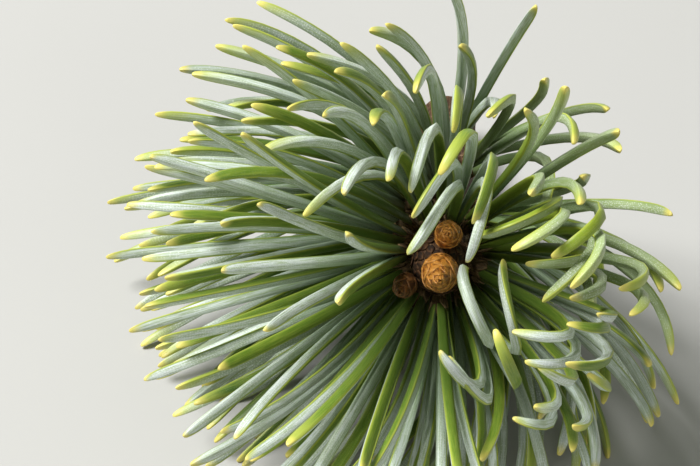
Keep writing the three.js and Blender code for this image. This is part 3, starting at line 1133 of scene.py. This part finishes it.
class RoundBody:
    """A round body that scales lie on: its foot, its axis, the direction of angle 0 and its radius."""

    def __init__(self, foot, along, start, radius_at=None):
        self.foot = foot
        self.along = along
        self.start = start
        self.radius_at = radius_at

    def at(self, level):
        """The place on the axis at one or more distances from the foot."""
        return self.foot + self.along * np.asarray(level)[..., None]

    def out(self, angle):
        """The direction out of the axis at one or more angles."""
        return turned(self.start, np.cross(self.along, self.start), angle)


# Half of a scale's thickness, its gap to the body and the body's least radius, in millimetres, and
# the least radius that a scale bends to, as a share of its half width
SCALE_THICKNESS = 0.07
SCALE_GAP = 0.05
THINNEST_BODY = 0.05
TIGHTEST_BEND = 0.55


def corner_angles(template):
    return math.tau * np.arange(template.sides) / template.sides


def scale_rings(body, angle, height, length, half_width, proud):
    """The rings and ends of a scale that lies round a body.

    height and length are along the body, half_width is across it at the widest, and proud is how
    far the scale's tip stands off it.
    """
    corners = corner_angles(SCALE_TUBE)
    rings = []
    for share, width in zip(SCALE_TUBE.heights, SCALE_TUBE.widths):
        level = height + length * share
        radius = max(float(body.radius_at(level)), THINNEST_BODY)
        across = half_width * width * np.sin(corners)
        turn = angle + across / max(radius, half_width * TIGHTEST_BEND)
        off = radius + SCALE_THICKNESS * np.cos(corners) + SCALE_GAP + proud * share**2
        rings.append(body.at(level) + off[:, None] * body.out(turn))
    level = height + length
    radius = max(float(body.radius_at(level)), 0.0) + SCALE_GAP + proud
    return np.array(rings), (rings[0].mean(0), body.at(level) + body.out(angle) * radius)


def bake_cell(column, row, columns, rows, low=0.0, high=1.0, gap=0.006):
    """One cell of a grid in the bake's map, between two heights of it, with a gap round it."""
    width = 1 / columns
    tall = (high - low) / rows
    return column * width + gap, low + row * tall + gap, width - 2 * gap, tall - 2 * gap


# The short shoot under the needles is a round foot that swells and ends in a rounded rim, and the
# husk is what the bracts lie on. Each of the first three has a least turn, height, length and
# distance off it and up to a play more. The lowest has its angle, height, length and half width
FOOT_SIDES = 10
FOOT_HEIGHTS = np.array((-0.55, 0.0, 0.6, 1.3, 1.8, 2.1))
FOOT_RADII = np.array((0.62, 0.7, 0.8, 0.9, 0.86, 0.62))
FOOT_GIRTH = math.tau * 0.8
FOOT_START = 0.3
HUSK_HEIGHTS = (-0.6, 0, 1.3, 2.2, 3.0)
HUSK_RADII = (0.7, 0.74, 0.9, 0.84, 0.9)
BRACTS = 3
BRACT_TURN = (0.0, 0.5)
FIRST_TURN = 0.2
BRACT_HEIGHT = (0.3, 0.5)
BRACT_LENGTH = (1.1, 0.5)
BRACT_HALF_WIDTH = 0.55
BRACT_PROUD = (0.02, 0.05)
LOWEST_BRACT = (0.0, -0.5, 1.5, 0.6)

# The share of the bake's map below the needles' own, for the foot and bracts
FOOT_MAP = 0.2


def bundle_mesh(name, bundle, section, draw):
    """The needles, foot and bracts of one bundle as one mesh."""
    tubes = JoinedTubes()
    for k, needle in enumerate(bundle.needles):
        rings, ends = needle_rings(needle, section)
        along = needle.length * (1 - np.append(STATIONS / NEEDLE_STEPS, (0.0, 1.0)))
        cell = bake_cell(0, k, 1, NEEDLES_PER_BUNDLE, FOOT_MAP)
        tubes.add(NEEDLE_TUBE, rings, ends, NEEDLE_ACROSS, along, cell, NEEDLE_COLUMN_SLOTS, draw())
    seat = bundle.seat
    shoot = RoundBody(seat.foot, seat.heading, unit(np.cross(seat.heading, ACROSS + FOOT_START * UP)))
    cells = [bake_cell(i, 0, BRACTS + 2, 1, 0.0, FOOT_MAP) for i in range(BRACTS + 2)]
    sizes = (FOOT_HEIGHTS, FOOT_RADII, FOOT_LENGTH, FOOT_GIRTH)
    tubes.add_core(FOOT_TUBE, shoot, *sizes, cells[0], FOOT_SLOT, draw())
    below = unit(-seat.along + seat.heading * (seat.along @ seat.heading))
    husk = RoundBody(
        seat.foot, seat.heading, below, lambda level: np.interp(level, HUSK_HEIGHTS, HUSK_RADII)
    )
    for i in range(BRACTS + 1):
        angle = math.tau * i / BRACTS + some(draw, *BRACT_TURN) + (0 if i else FIRST_TURN)
        if i < BRACTS:
            place = (angle, some(draw, *BRACT_HEIGHT), some(draw, *BRACT_LENGTH), BRACT_HALF_WIDTH)
        else:
            place = LOWEST_BRACT
        tubes.add_scale(husk, *place, some(draw, *BRACT_PROUD), cells[i + 1], BRACT_SLOT, draw())
    return tubes.mesh(name)


# Up to the first of these ages, as shares of the needled length, a bundle is fresh green and has
# little wax, and past the second it is deep green. It stays fresh longer towards one side, and the
# crown round the buds keeps its wax except where it faces that side. The thinner wax on that side is
# partly a fresher green and partly painted shade, darkening the needles on the side that lies in shade
FRESH_AGE = 0.02
DEEP_AGE = 0.62
AGE_PLAY = 0.5
FRESH_AND_SHADED_SIDE = 30.0
FRESH_LONGER = 0.9
FRESH_FACING = 0.75

# Seeds of each bundle's bracts, own patterns and tone
LOOK_SEED = 911
LOOK_SEED_PER_BUNDLE = 37

# The yellow of the end reaches less far up the waxy faces than up the others, and least in the
# crown round the buds. The deep green ones have their wax thinned by a share of the fresh ones'
WAX_TIP = 0.9
CROWN_WAX_TIP = 0.45
DEEP_THIN = 0.5
CROWN_TONE, FRESH_TONE, MID_TONE, DEEP_TONE = range(4)

# What the skin of the waxy inner faces, the outer face and the two edges is given, the strength and
# depth in millimetres of its relief, and its gloss
FACE_INPUTS = ("Face width", "Margin width", "Streaks", "Pores", "Smoothness")
FACE_SKINS = {
    "wax": ((WAX_WIDTH * 2, 0.16, 0.62, 0.6, 0.34), (0.3, 0.04), 0.6),
    "back": ((BACK_WIDTH, 0.22, 0.5, 0.05, 0.3), (0.3, 0.04), 0.5),
    "edge": ((EDGE_WIDTH, 0.05, 0.4, 0.0, 0.34), (0.2, 0.03), 0.5),
}

# Body, hollows and worn places of the foot's bark and of its bracts
FOOT_COLOURS = (paint(112, 90, 52), paint(58, 42, 24), paint(160, 138, 92))
BRACT_COLOURS = (paint(100, 78, 46), paint(56, 40, 22), paint(146, 122, 84))


def face_material(look, face, tone, body, margin, root, reach):
    """The skin of one kind of face, where reach is how far the tip's yellow comes, as a share."""
    inputs, bump, gloss = FACE_SKINS[face]
    # The root colour is partly painted shade towards the foot
    colours = {"Face": body, "Margin": margin, "Root and shade": root}
    colours.update({"Near tip": look.near_tip, "Tip": look.tip, "Pore": look.pore})
    values = {label: solid(colour) for label, colour in colours.items()}
    values.update(zip(FACE_INPUTS, inputs))
    values["Tip length"] = look.tip_length * reach
    name = f"needle_{face}_{tone}"
    return skin_material(name, "needle_skin", values, bump, {SHINE: gloss})


def needle_materials(look):
    """The five slots of a bundle, for each of the four tones in their order."""
    tones = (
        ("crown", look.green, 0.0, CROWN_WAX_TIP),
        ("fresh", look.green_fresh, look.thin_wax, WAX_TIP),
        ("mid", look.green, 0.0, WAX_TIP),
        ("deep", look.green_deep, look.thin_wax * DEEP_THIN, WAX_TIP),
    )
    rows = blend(look.under_wax, look.margin, 0.25)
    faces = []
    for tone, green, thin, reach in tones:
        wax = blend(look.wax, green, thin)
        outer = blend(green, look.margin, 0.5)
        edge = blend(green, look.margin, 0.8)
        faces.append(
            (
                face_material(look, "wax", tone, wax, rows, look.root_wax_and_shade, reach),
                face_material(look, "back", tone, green, outer, look.root_green_and_shade, 1.0),
                face_material(look, "edge", tone, edge, look.margin, look.root_green_and_shade, 1.0),
            )
        )
    below = (
        dry_material("short_shoot_bark", FOOT_COLOURS, (7.0, 2.0), 0.5, 0.6, (0.5, 0.08), {SHINE: 0.3}),
        dry_material("bract_paper", BRACT_COLOURS, (10.0, 1.0), 0.55, 0.55, (0.4, 0.05), {SHINE: 0.35}),
    )
    return [three + below for three in faces]


def tone_of(number, seat, play):
    """The tone of a bundle by its number from 1, its seat and a play from -0.5 to 0.5."""
    facing = math.cos(math.radians(seat.azimuth - FRESH_AND_SHADED_SIDE))
    if number <= len(CROWN) and facing < FRESH_FACING:
        return CROWN_TONE
    age = (STEM_LENGTH - seat.s) / (BELOW_TIP + SPAN) + AGE_PLAY * play
    # Towards that side the wax thins to a darker green: painted shade, with a fresher green
    age -= FRESH_LONGER * max(0.0, facing)
    if age < FRESH_AGE:
        return FRESH_TONE
    return MID_TONE if age < DEEP_AGE else DEEP_TONE


class PINE_OT_needles(Operator):
    """Grow every bundle of needles on its foot"""

    bl_idname = "pine_shoot.needles"
    bl_label = "Grow Needles"

    def execute(self, context):
        look = context.scene.pine_needles
        section = needle_section(look.bulge)
        sets = needle_materials(look)
        for number, bundle in enumerate(BUNDLES, 1):
            draw = stream(LOOK_SEED + LOOK_SEED_PER_BUNDLE * number)
            mesh = bundle_mesh(f"needles_{number:02d}", bundle, section, draw)
            tone = tone_of(number, bundle.seat, draw() - 0.5)
            add_piece(mesh, sets[tone], f"needle_bundle_{number:02d}")
        return {"FINISHED"}


# A bud's core and scales, in shares of the bud's length and radius. Heights, lengths and half
# widths go from the first value to that of the topmost scale. A scale is narrower where the core is
# thin at some share of its length. Plays are a least value and what may come to it, the turn's is in
# degrees, and a scale's tip stands off in millimetres
CORE_SIDES = 14
CORE_RINGS = 9
CORE_SHARE = 0.93
CORE_LOW = -0.07
CORE_HIGH = 0.94
CORE_TOP = 0.97
CORE_VIGOUR = 0.5
SCALE_HEIGHT = (-0.08, 0.8)
SCALE_RISE = 0.92
SCALE_LENGTH = (0.42, 0.26)
SCALE_LENGTH_PLAY = (0.94, 0.12)
SCALE_HALF_WIDTH = (0.78, 0.6)
NARROWED_AT = 0.3
NARROWED_LEAST = 0.25
SCALE_TURN_PLAY = 6
SCALE_PROUD = (0.05, 0.09)
BUD_COLUMNS = 8


def bud_mesh(name, bud, count, draw):
    """A bud covered by a spiral of overlapping scales, on a plain core."""

    def radius_at(level):
        return bud.profile(np.clip(level / bud.length, 0, 1)) * CORE_SHARE

    tubes = JoinedTubes()
    body = RoundBody(bud.foot, bud.along, unit(np.cross(bud.along, ACROSS)), radius_at)
    rows = math.ceil((count + 1) / BUD_COLUMNS)
    cells = [bake_cell(i % BUD_COLUMNS, i // BUD_COLUMNS, BUD_COLUMNS, rows) for i in range(count + 1)]
    heights = np.linspace(0.0, CORE_HIGH, CORE_TUBE.rings) * bud.length
    heights[0] = CORE_LOW * bud.length
    radii = radius_at(heights)
    radii[0] = bud.foot_radius
    sizes = (heights, radii, CORE_TOP * bud.length, math.tau * bud.radius)
    tubes.add_core(CORE_TUBE, body, *sizes, cells[0], 0, CORE_VIGOUR)
    for i in range(count):
        share = i / (count - 1)
        height = lerp(*SCALE_HEIGHT, share**SCALE_RISE) * bud.length
        length = lerp(*SCALE_LENGTH, share) * bud.length * some(draw, *SCALE_LENGTH_PLAY)
        half_width = lerp(*SCALE_HALF_WIDTH, share) * bud.radius
        core = float(radius_at(height + NARROWED_AT * length))
        half_width *= min(1.0, NARROWED_LEAST + core / bud.radius)
        angle = math.radians(GOLDEN_ANGLE * i + SCALE_TURN_PLAY * (draw() - 0.5))
        place = (angle, height, length, half_width, some(draw, *SCALE_PROUD))
        tubes.add_scale(body, *place, cells[i + 1], 0, draw())
    return tubes.mesh(name)


# The old scales round the end of the stem, from one distance from the cut to another. Lengths and
# half widths go from the first value to that of the topmost, in millimetres, with plays as the buds'
COLLAR_REACH = (44.6, 51.6)
COLLAR_LENGTH = (2.0, 1.2)
COLLAR_LENGTH_PLAY = (0.85, 0.3)
COLLAR_HALF_WIDTH = (0.62, 0.42)
COLLAR_TURN_PLAY = 10
COLLAR_PROUD = (0.06, 0.16)
COLLAR_COLUMNS = 12


def collar_mesh(name, count, draw):
    """The old scales that lie round the end of the stem, in a spiral from shoulder to end bud."""
    tubes = JoinedTubes()
    rows = math.ceil(count / COLLAR_COLUMNS)
    for i in range(count):
        share = i / (count - 1)
        s = lerp(*COLLAR_REACH, share)
        stem = StemPlace(s)
        body = RoundBody(stem.centre, stem.along, ACROSS, lambda level: collar_radius(s + level))
        length = lerp(*COLLAR_LENGTH, share) * some(draw, *COLLAR_LENGTH_PLAY)
        half_width = lerp(*COLLAR_HALF_WIDTH, share)
        angle = math.radians(GOLDEN_ANGLE * i + COLLAR_TURN_PLAY * (draw() - 0.5))
        cell = bake_cell(i % COLLAR_COLUMNS, i // COLLAR_COLUMNS, COLLAR_COLUMNS, rows, gap=0.004)
        place = (angle, 0.0, length, half_width, some(draw, *COLLAR_PROUD))
        tubes.add_scale(body, *place, cell, 0, draw())
    return tubes.mesh(name)


def collar_radius(s):
    """The radius that the old scales lie on: the stem's, and past its end the foot of the end bud."""
    if s < STEM_LENGTH:
        return float(stem_radius(s))
    past = min(1.0, (s - STEM_LENGTH) / (SEAT_GAP * 2))
    return lerp(float(stem_radius(STEM_LENGTH)), TIP_BUD[2], past)


def scale_material(name, colours, gloss):
    """The material of scales, which glisten with resin as far as the gloss says, from 0 to 1."""
    plain = {SHINE: 0.3 + 0.2 * gloss, "Coat Weight": 0.25 * gloss, "Coat Roughness": 0.3}
    return dry_material(name, colours, (3.4, 0.8), 0.45, 0.62 - 0.3 * gloss, (0.45, 0.06), plain)


# Seeds of the scales, and the number of the small bud whose scales take darker colours, painted shade for
# the needles over it
BUD_SEED = 5021
COLLAR_SEED = 5101
SHADED_BUD = 2


class PINE_OT_buds(Operator):
    """Cover the three buds and the end of the stem with their scales"""

    bl_idname = "pine_shoot.buds"
    bl_label = "Grow Buds"

    def execute(self, context):
        look = context.scene.pine_buds
        bright = scale_material("bud_scale", (look.scale_body, look.scale_dark, look.scale_edge), 1.0)
        # The smallest bud takes the darker copy of the scale colours: painted shade
        shaded_scale = scale_material("shaded_bud_scale", (look.shaded_body, look.shaded_dark, look.shaded_edge), 0.6)
        for number, bud in enumerate(bud_places()):
            count = look.tip_scales if number == 0 else look.side_scales
            mesh = bud_mesh(f"scaly_{bud.name}", bud, count, stream(BUD_SEED + number))
            add_piece(mesh, [shaded_scale if number == SHADED_BUD else bright], bud.name)
        # The collar's dark colours are partly painted shade of the cup
        colours = (look.collar_body_and_shade, look.collar_dark_and_shade, look.collar_edge_and_shade)
        collar = scale_material("collar_scale", colours, 0.0)
        mesh = collar_mesh("collar_scales", look.collar_scales, stream(COLLAR_SEED))
        add_piece(mesh, [collar], None)
        return {"FINISHED"}


# The sheet of the stem: columns round it, rows of bark from a place near the cut, and for each row
# of the cut and of the end its share of the radius and its distance along. The cut's wood takes all
# but the last rows of the cut
STEM_SIDES = 96
BARK_ROWS = 210
BARK_BEGINS = 0.12
CUT_RIM_ROWS = 3
CUT_SHARES = (0.0, 0.06, 0.12, 0.25, 0.4, 0.55, 0.68, 0.78, 0.845, 0.86, 0.93, 0.985)
CUT_DISH = (0.1, 0.1, 0.09, 0.06, 0.05, 0.03, 0.02, 0.02, 0.0, 0.03, -0.02, 0.02)
END_SHARES = (0.86, 0.6, 0.3, 0.0)
END_HEIGHTS = (0.16, 0.3, 0.38, 0.4)

# The relief fades out near the cut, down to a share, and is only on rows of nearly full radius
RELIEF_FADES = 0.8
LEAST_RELIEF = 0.35
FULL_ROW = 0.9

# Scale of the patterns round the stem and round the cut, and the gap of the bake's map
MEAN_RADIUS = 2.8
CUT_TURN = 6
STEM_MAP_GAP = 0.004

# Corners of the rolled sheet nearer than this, in metres, are one
SAME_PLACE = 1e-8


def round_noise(rng, cells_round, cells_along, turn, share):
    """Smooth seeded noise from -1 to 1 that closes on itself round the stem."""
    values = rng.uniform(-1, 1, (cells_round, cells_along + 2))
    x = turn * cells_round
    y = np.clip(share, 0, 1) * cells_along
    x0 = np.floor(x).astype(int)
    y0 = np.floor(y).astype(int)
    fx = x - x0
    fy = y - y0
    fx = fx * fx * (3 - 2 * fx)
    fy = fy * fy * (3 - 2 * fy)

    def column(at):
        return lerp(values[at % cells_round, y0], values[at % cells_round, y0 + 1], fy)

    return lerp(column(x0), column(x0 + 1), fx)


# The bark's wrinkles: cells round the stem and along it, and share of their height
BARK_SEED = 58
WRINKLES = ((26, 16, 0.55), (52, 44, 0.3), (9, 30, 0.35))

# A cushion swells from above its bundle's place, falls off above and below, and is a bell as wide
# as its half width, which narrows downwards over a length. Under a lost bundle it is lower and has
# a round pit below its top. All but the share are in millimetres
CUSHION_ABOVE = 0.35
CUSHION_FALL_ABOVE = 0.42
CUSHION_FALL_BELOW = 2.3
CUSHION_HALF_WIDTH = 0.78
CUSHION_NARROWING = 0.3
NARROWING_LENGTH = 3.5
LOST_SHARE = 0.62
PIT_BELOW = 0.1
PIT_DEPTH = 0.3
PIT_RADIUS = 0.34
LOWEST_SCAR = 1.5


def bundle_seats():
    """Azimuth and place of each bundle, and whether it is still there, with those lost further down."""
    seats = [(bundle.seat.azimuth, bundle.seat.s, True) for bundle in BUNDLES]
    spacing = SPAN / (BUNDLE_COUNT - len(CROWN) - 1)
    later = BUNDLE_COUNT - len(CROWN)
    place = STEM_LENGTH - BELOW_TIP - SPAN - spacing
    while place > LOWEST_SCAR:
        seats.append((FIRST_AZIMUTH + later * GOLDEN_ANGLE, place, False))
        later += 1
        place -= spacing
    return seats


def bell(distance, width, power=2):
    return np.exp(-((distance / width) ** power))


def bark_relief(angle, s, look):
    """How far the bark stands out, in millimetres: cushions, scars of lost bundles, and wrinkles."""
    rng = np.random.default_rng(BARK_SEED)
    turn = angle / math.tau
    share = s / STEM_LENGTH
    wrinkles = sum(size * round_noise(rng, *cells, turn, share) for *cells, size in WRINKLES)
    cushions = np.zeros_like(s)
    pits = np.zeros_like(s)
    for azimuth, seat_s, kept in bundle_seats():
        off = (angle - math.radians(azimuth) + math.pi) % math.tau - math.pi
        aside = off * stem_radius(np.full_like(s, seat_s))
        below = seat_s + (CUSHION_ABOVE if kept else 0.0) - s
        fall = np.where(below < 0, bell(below, CUSHION_FALL_ABOVE), bell(below, CUSHION_FALL_BELOW))
        width = CUSHION_HALF_WIDTH - CUSHION_NARROWING * np.clip(below / NARROWING_LENGTH, 0, 1)
        tall = look.cushion * (1.0 if kept else LOST_SHARE)
        cushions = np.maximum(cushions, tall * bell(aside, width) * fall)
        if not kept:
            from_scar = np.hypot(aside, below - PIT_BELOW)
            pits = np.maximum(pits, PIT_DEPTH * bell(from_scar, PIT_RADIUS, 4))
    return look.wrinkle * wrinkles + cushions - pits


def stem_mesh(name, look):
    """The stem as one sheet that is rolled up and closed: its cut, its bark and its upper end."""
    rows = len(CUT_SHARES) + BARK_ROWS + len(END_SHARES)
    bm = bmesh.new()
    bake, growth = (bm.loops.layers.uv.new(label) for label in (BAKE_MAP, GROWTH_MAP))
    raised = bm.verts.layers.float.new(RELIEF)
    bmesh.ops.create_grid(bm, x_segments=STEM_SIDES, y_segments=rows - 1, size=1.0)
    raw = np.array([vert.co[:] for vert in bm.verts])
    column = np.rint((raw[:, 0] + 1) / 2 * STEM_SIDES).astype(int)
    row = np.rint((raw[:, 1] + 1) / 2 * (rows - 1)).astype(int)

    bark_s = np.linspace(BARK_BEGINS, STEM_LENGTH, BARK_ROWS)
    row_s = np.concatenate((CUT_DISH, bark_s, STEM_LENGTH + np.array(END_HEIGHTS)))
    row_share = np.concatenate((CUT_SHARES, np.ones(BARK_ROWS), END_SHARES))
    s = row_s[row]
    on_stem = np.clip(s, 0, STEM_LENGTH)
    angle = column / STEM_SIDES * math.tau
    place = StemPlace(s)
    relief = bark_relief(angle, on_stem, look) * np.clip(s / RELIEF_FADES, LEAST_RELIEF, 1)
    relief = np.where(row_share[row] > FULL_ROW, relief, 0)
    radius = (stem_radius(on_stem) + relief) * row_share[row]
    coords = (place.centre + turned(ACROSS, place.above, angle) * radius[:, None]) * MM + SHIFT
    for vert, co, height in zip(bm.verts, coords, relief):
        vert.co = co
        vert[raised] = height

    steps = np.hypot(np.diff(row_s), np.diff(row_share * MEAN_RADIUS))
    reached = np.append(0, np.cumsum(steps)) / steps.sum()
    bm.verts.index_update()
    for face in bm.faces:
        face.smooth = True
        on_cut = max(row[vert.index] for vert in face.verts) < len(CUT_SHARES) - CUT_RIM_ROWS
        face.material_index = int(on_cut)
        for loop in face.loops:
            index = loop.vert.index
            turn = column[index] / STEM_SIDES
            at = row[index]
            loop[bake].uv = (turn, lerp(STEM_MAP_GAP, 1 - STEM_MAP_GAP, reached[at]))
            if on_cut:
                loop[growth].uv = (turn * CUT_TURN, row_share[at] * RADIUS_AT_CUT)
            else:
                loop[growth].uv = (turn * math.tau * MEAN_RADIUS, s[index])
    bmesh.ops.remove_doubles(bm, verts=bm.verts, dist=SAME_PLACE)
    bmesh.ops.dissolve_degenerate(bm, edges=bm.edges, dist=SAME_PLACE)
    mesh = bpy.data.meshes.new(name)
    bm.to_mesh(mesh)
    bm.free()
    mesh.uv_layers.active = mesh.uv_layers[BAKE_MAP]
    return mesh


def cut_wood_material(look):
    """The flat cut: pale wood in yearly rings, fine rays, and a brown pith."""
    material, graph, shader = new_surface("cut_wood")
    late_wood = solid(look.wood_late)
    turn, out = graph.growth()
    wander = graph.noise("uneven rings", graph.join("round the cut", turn, out, 0.0), 2.0)
    uneven = graph.line("uneven", wander, 0.3, out)
    year = graph.math("years", "FRACT", graph.times("growth", uneven, 1.15))
    late = graph.smooth("late wood", year, 0.55, 0.95)
    wood = graph.mix("rings", late, solid(look.wood), late_wood)
    fine = graph.join("rays", graph.times("rays round", turn, 22.0), out, 3.0)
    rays = graph.smooth("rays", graph.noise("rays", fine, 3.0, 0.6), 0.45, 0.7)
    wood = graph.mix("rays", graph.times("faint", rays, 0.35), wood, late_wood)
    core = graph.smooth("pith", uneven, 0.34, 0.5, 1.0, 0.0)
    wood = graph.mix("pith", core, wood, solid(look.pith))
    height = graph.math("height", "ADD", late, rays)
    graph.dress(shader, wood, graph.line("dull", rays, 0.15, 0.62), height, (0.4, 0.06))
    graph.give(shader, {SHINE: 0.3})
    return material


class PINE_OT_stem(Operator):
    """Model the stem with its bark, leaf cushions, scars and cut"""

    bl_idname = "pine_shoot.stem"
    bl_label = "Model Stem"

    def execute(self, context):
        look = context.scene.pine_stem
        colours = (look.bark, look.hollow, look.worn)
        bark = dry_material("bark", colours, (4.2, 1.1), 0.75, 0.68, (0.7, 0.12), {SHINE: 0.25})
        mesh = stem_mesh("bark_stem", look)
        add_piece(mesh, [bark, cut_wood_material(look)], "stem")
        return {"FINISHED"}


# The camera looks down on the bud from the shoot's own end. Angles in degrees
VIEW_AZIMUTH = -3.0
VIEW_ELEVATION = 48.0
PICTURE = (700, 466)
BUD_PIXEL = (440, 275)
SENSOR = 36.0
CLIP = (0.01, 20.0)


def looking(direction):
    """The turn of a camera or light that looks along a direction."""
    return direction.to_track_quat("-Z", "Y")


def add_camera(look):
    low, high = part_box("bud_tip")
    target = (low + high) / 2
    turn = math.radians(VIEW_AZIMUTH)
    rise = math.radians(VIEW_ELEVATION)
    flat = math.cos(rise)
    back = Vector((-math.sin(turn) * flat, -math.cos(turn) * flat, math.sin(rise)))
    aim = looking(-back)
    right = aim @ Vector((1, 0, 0))
    above = aim @ Vector((0, 1, 0))
    pixel = look.width / PICTURE[0]
    aside = (PICTURE[0] / 2 - BUD_PIXEL[0]) * pixel
    lower = (BUD_PIXEL[1] - PICTURE[1] / 2) * pixel
    data = bpy.data.cameras.new("camera")
    data.sensor_width = SENSOR
    data.lens = SENSOR * look.distance / look.width
    data.clip_start, data.clip_end = CLIP
    camera = add_object("camera", data)
    camera.location = target + back * look.distance + right * aside + above * lower
    camera.rotation_mode = "QUATERNION"
    camera.rotation_quaternion = aim
    bpy.context.scene.camera = camera


# Diameter and place of the two round lights, both aimed at one point inside the needles, in metres
KEY_SIZE = 0.45
KEY_PLACE = (-0.5, 0.1, 0.85)
FILL_SIZE = 0.5
FILL_PLACE = (0.3, -0.5, 0.4)
LIGHT_AIM = (0, 0, 0.03)


def add_light(name, power, size, place):
    data = bpy.data.lights.new(name, "AREA")
    data.energy = power
    data.shape = "DISK"
    data.size = size
    light = add_object(name, data)
    light.location = place
    light.rotation_mode = "QUATERNION"
    light.rotation_quaternion = looking(Vector(LIGHT_AIM) - Vector(place))


# Size of the floor in metres, and the scale and shade of its grain
FLOOR_SIZE = 3.0
GRAIN_SCALE = 30.0
GRAIN_SHADE = 0.97


def floor_material(look):
    """A matt pale surface with a very faint grain."""
    material, graph, shader = new_surface("pale_floor")
    place = graph.node("ShaderNodeTexCoord", "place")
    values = {"Vector": place.outputs["Object"], "Scale": GRAIN_SCALE}
    grain = graph.give(graph.node("ShaderNodeTexNoise", "grain"), values).outputs[0]
    darker = solid(GRAIN_SHADE * part for part in look.floor)
    colour = graph.mix("grain", grain, darker, solid(look.floor))
    graph.give(shader, {"Base Color": colour, "Roughness": 0.9, SHINE: 0.15})
    return material


class PINE_OT_stage(Operator):
    """Set the plain floor, the soft light and the camera"""

    bl_idname = "pine_shoot.stage"
    bl_label = "Set Stage"

    def execute(self, context):
        look = context.scene.pine_stage
        bm = bmesh.new()
        bmesh.ops.create_grid(bm, x_segments=1, y_segments=1, size=FLOOR_SIZE)
        mesh = bpy.data.meshes.new("floor")
        bm.to_mesh(mesh)
        bm.free()
        mesh.materials.append(floor_material(look))
        floor = add_object("floor", mesh)
        add_light("key", look.key_power, KEY_SIZE, KEY_PLACE)
        add_light("fill", look.fill_power, FILL_SIZE, FILL_PLACE)
        world = bpy.data.worlds.new("soft_sky")
        world.use_nodes = True
        graph = Graph(world.node_tree)
        values = {"Color": solid(look.sky), "Strength": look.sky_strength}
        graph.give(graph.nodes["Background"], values)
        context.scene.world = world
        context.scene.view_settings.view_transform = "Standard"
        add_camera(look)
        return {"FINISHED"}


class PINE_PT_shoot(Panel):
    """The steps of the shoot, in order, with what can be changed in each"""

    bl_label = "Pine Shoot"
    bl_idname = "PINE_PT_shoot"
    bl_space_type = "VIEW_3D"
    bl_region_type = "UI"
    bl_category = "Pine Shoot"

    def draw(self, context):
        scene = context.scene
        steps = (
            (PINE_OT_stage, scene.pine_stage),
            (PINE_OT_stem, scene.pine_stem),
            (PINE_OT_buds, scene.pine_buds),
            (PINE_OT_needles, scene.pine_needles),
        )
        for operator, look in steps:
            box = self.layout.box()
            box.operator(operator.bl_idname)
            for key in look.__annotations__:
                box.prop(look, key)


NEEDLE_TUBE = TubeTemplate(len(NEEDLE_COLUMN_SLOTS), len(STATIONS))
FOOT_TUBE = TubeTemplate(FOOT_SIDES, len(FOOT_HEIGHTS))
CORE_TUBE = TubeTemplate(CORE_SIDES, CORE_RINGS)
SCALE_TUBE = ScaleTemplate()
BUNDLES = grow_bundles()

LOOKS = {
    "pine_needles": NeedleLook,
    "pine_stem": StemLook,
    "pine_buds": BudLook,
    "pine_stage": StageLook,
}
CLASSES = (
    *LOOKS.values(),
    PINE_OT_stage,
    PINE_OT_stem,
    PINE_OT_buds,
    PINE_OT_needles,
    PINE_PT_shoot,
)


def register():
    for cls in CLASSES:
        bpy.utils.register_class(cls)
    for key, look in LOOKS.items():
        setattr(bpy.types.Scene, key, PointerProperty(type=look))


def unregister():
    for key in LOOKS:
        delattr(bpy.types.Scene, key)
    for cls in reversed(CLASSES):
        bpy.utils.unregister_class(cls)


def main():
    register()
    bpy.ops.pine_shoot.stage()
    bpy.ops.pine_shoot.stem()
    bpy.ops.pine_shoot.buds()
    bpy.ops.pine_shoot.needles()


if __name__ == "__main__":
    main()
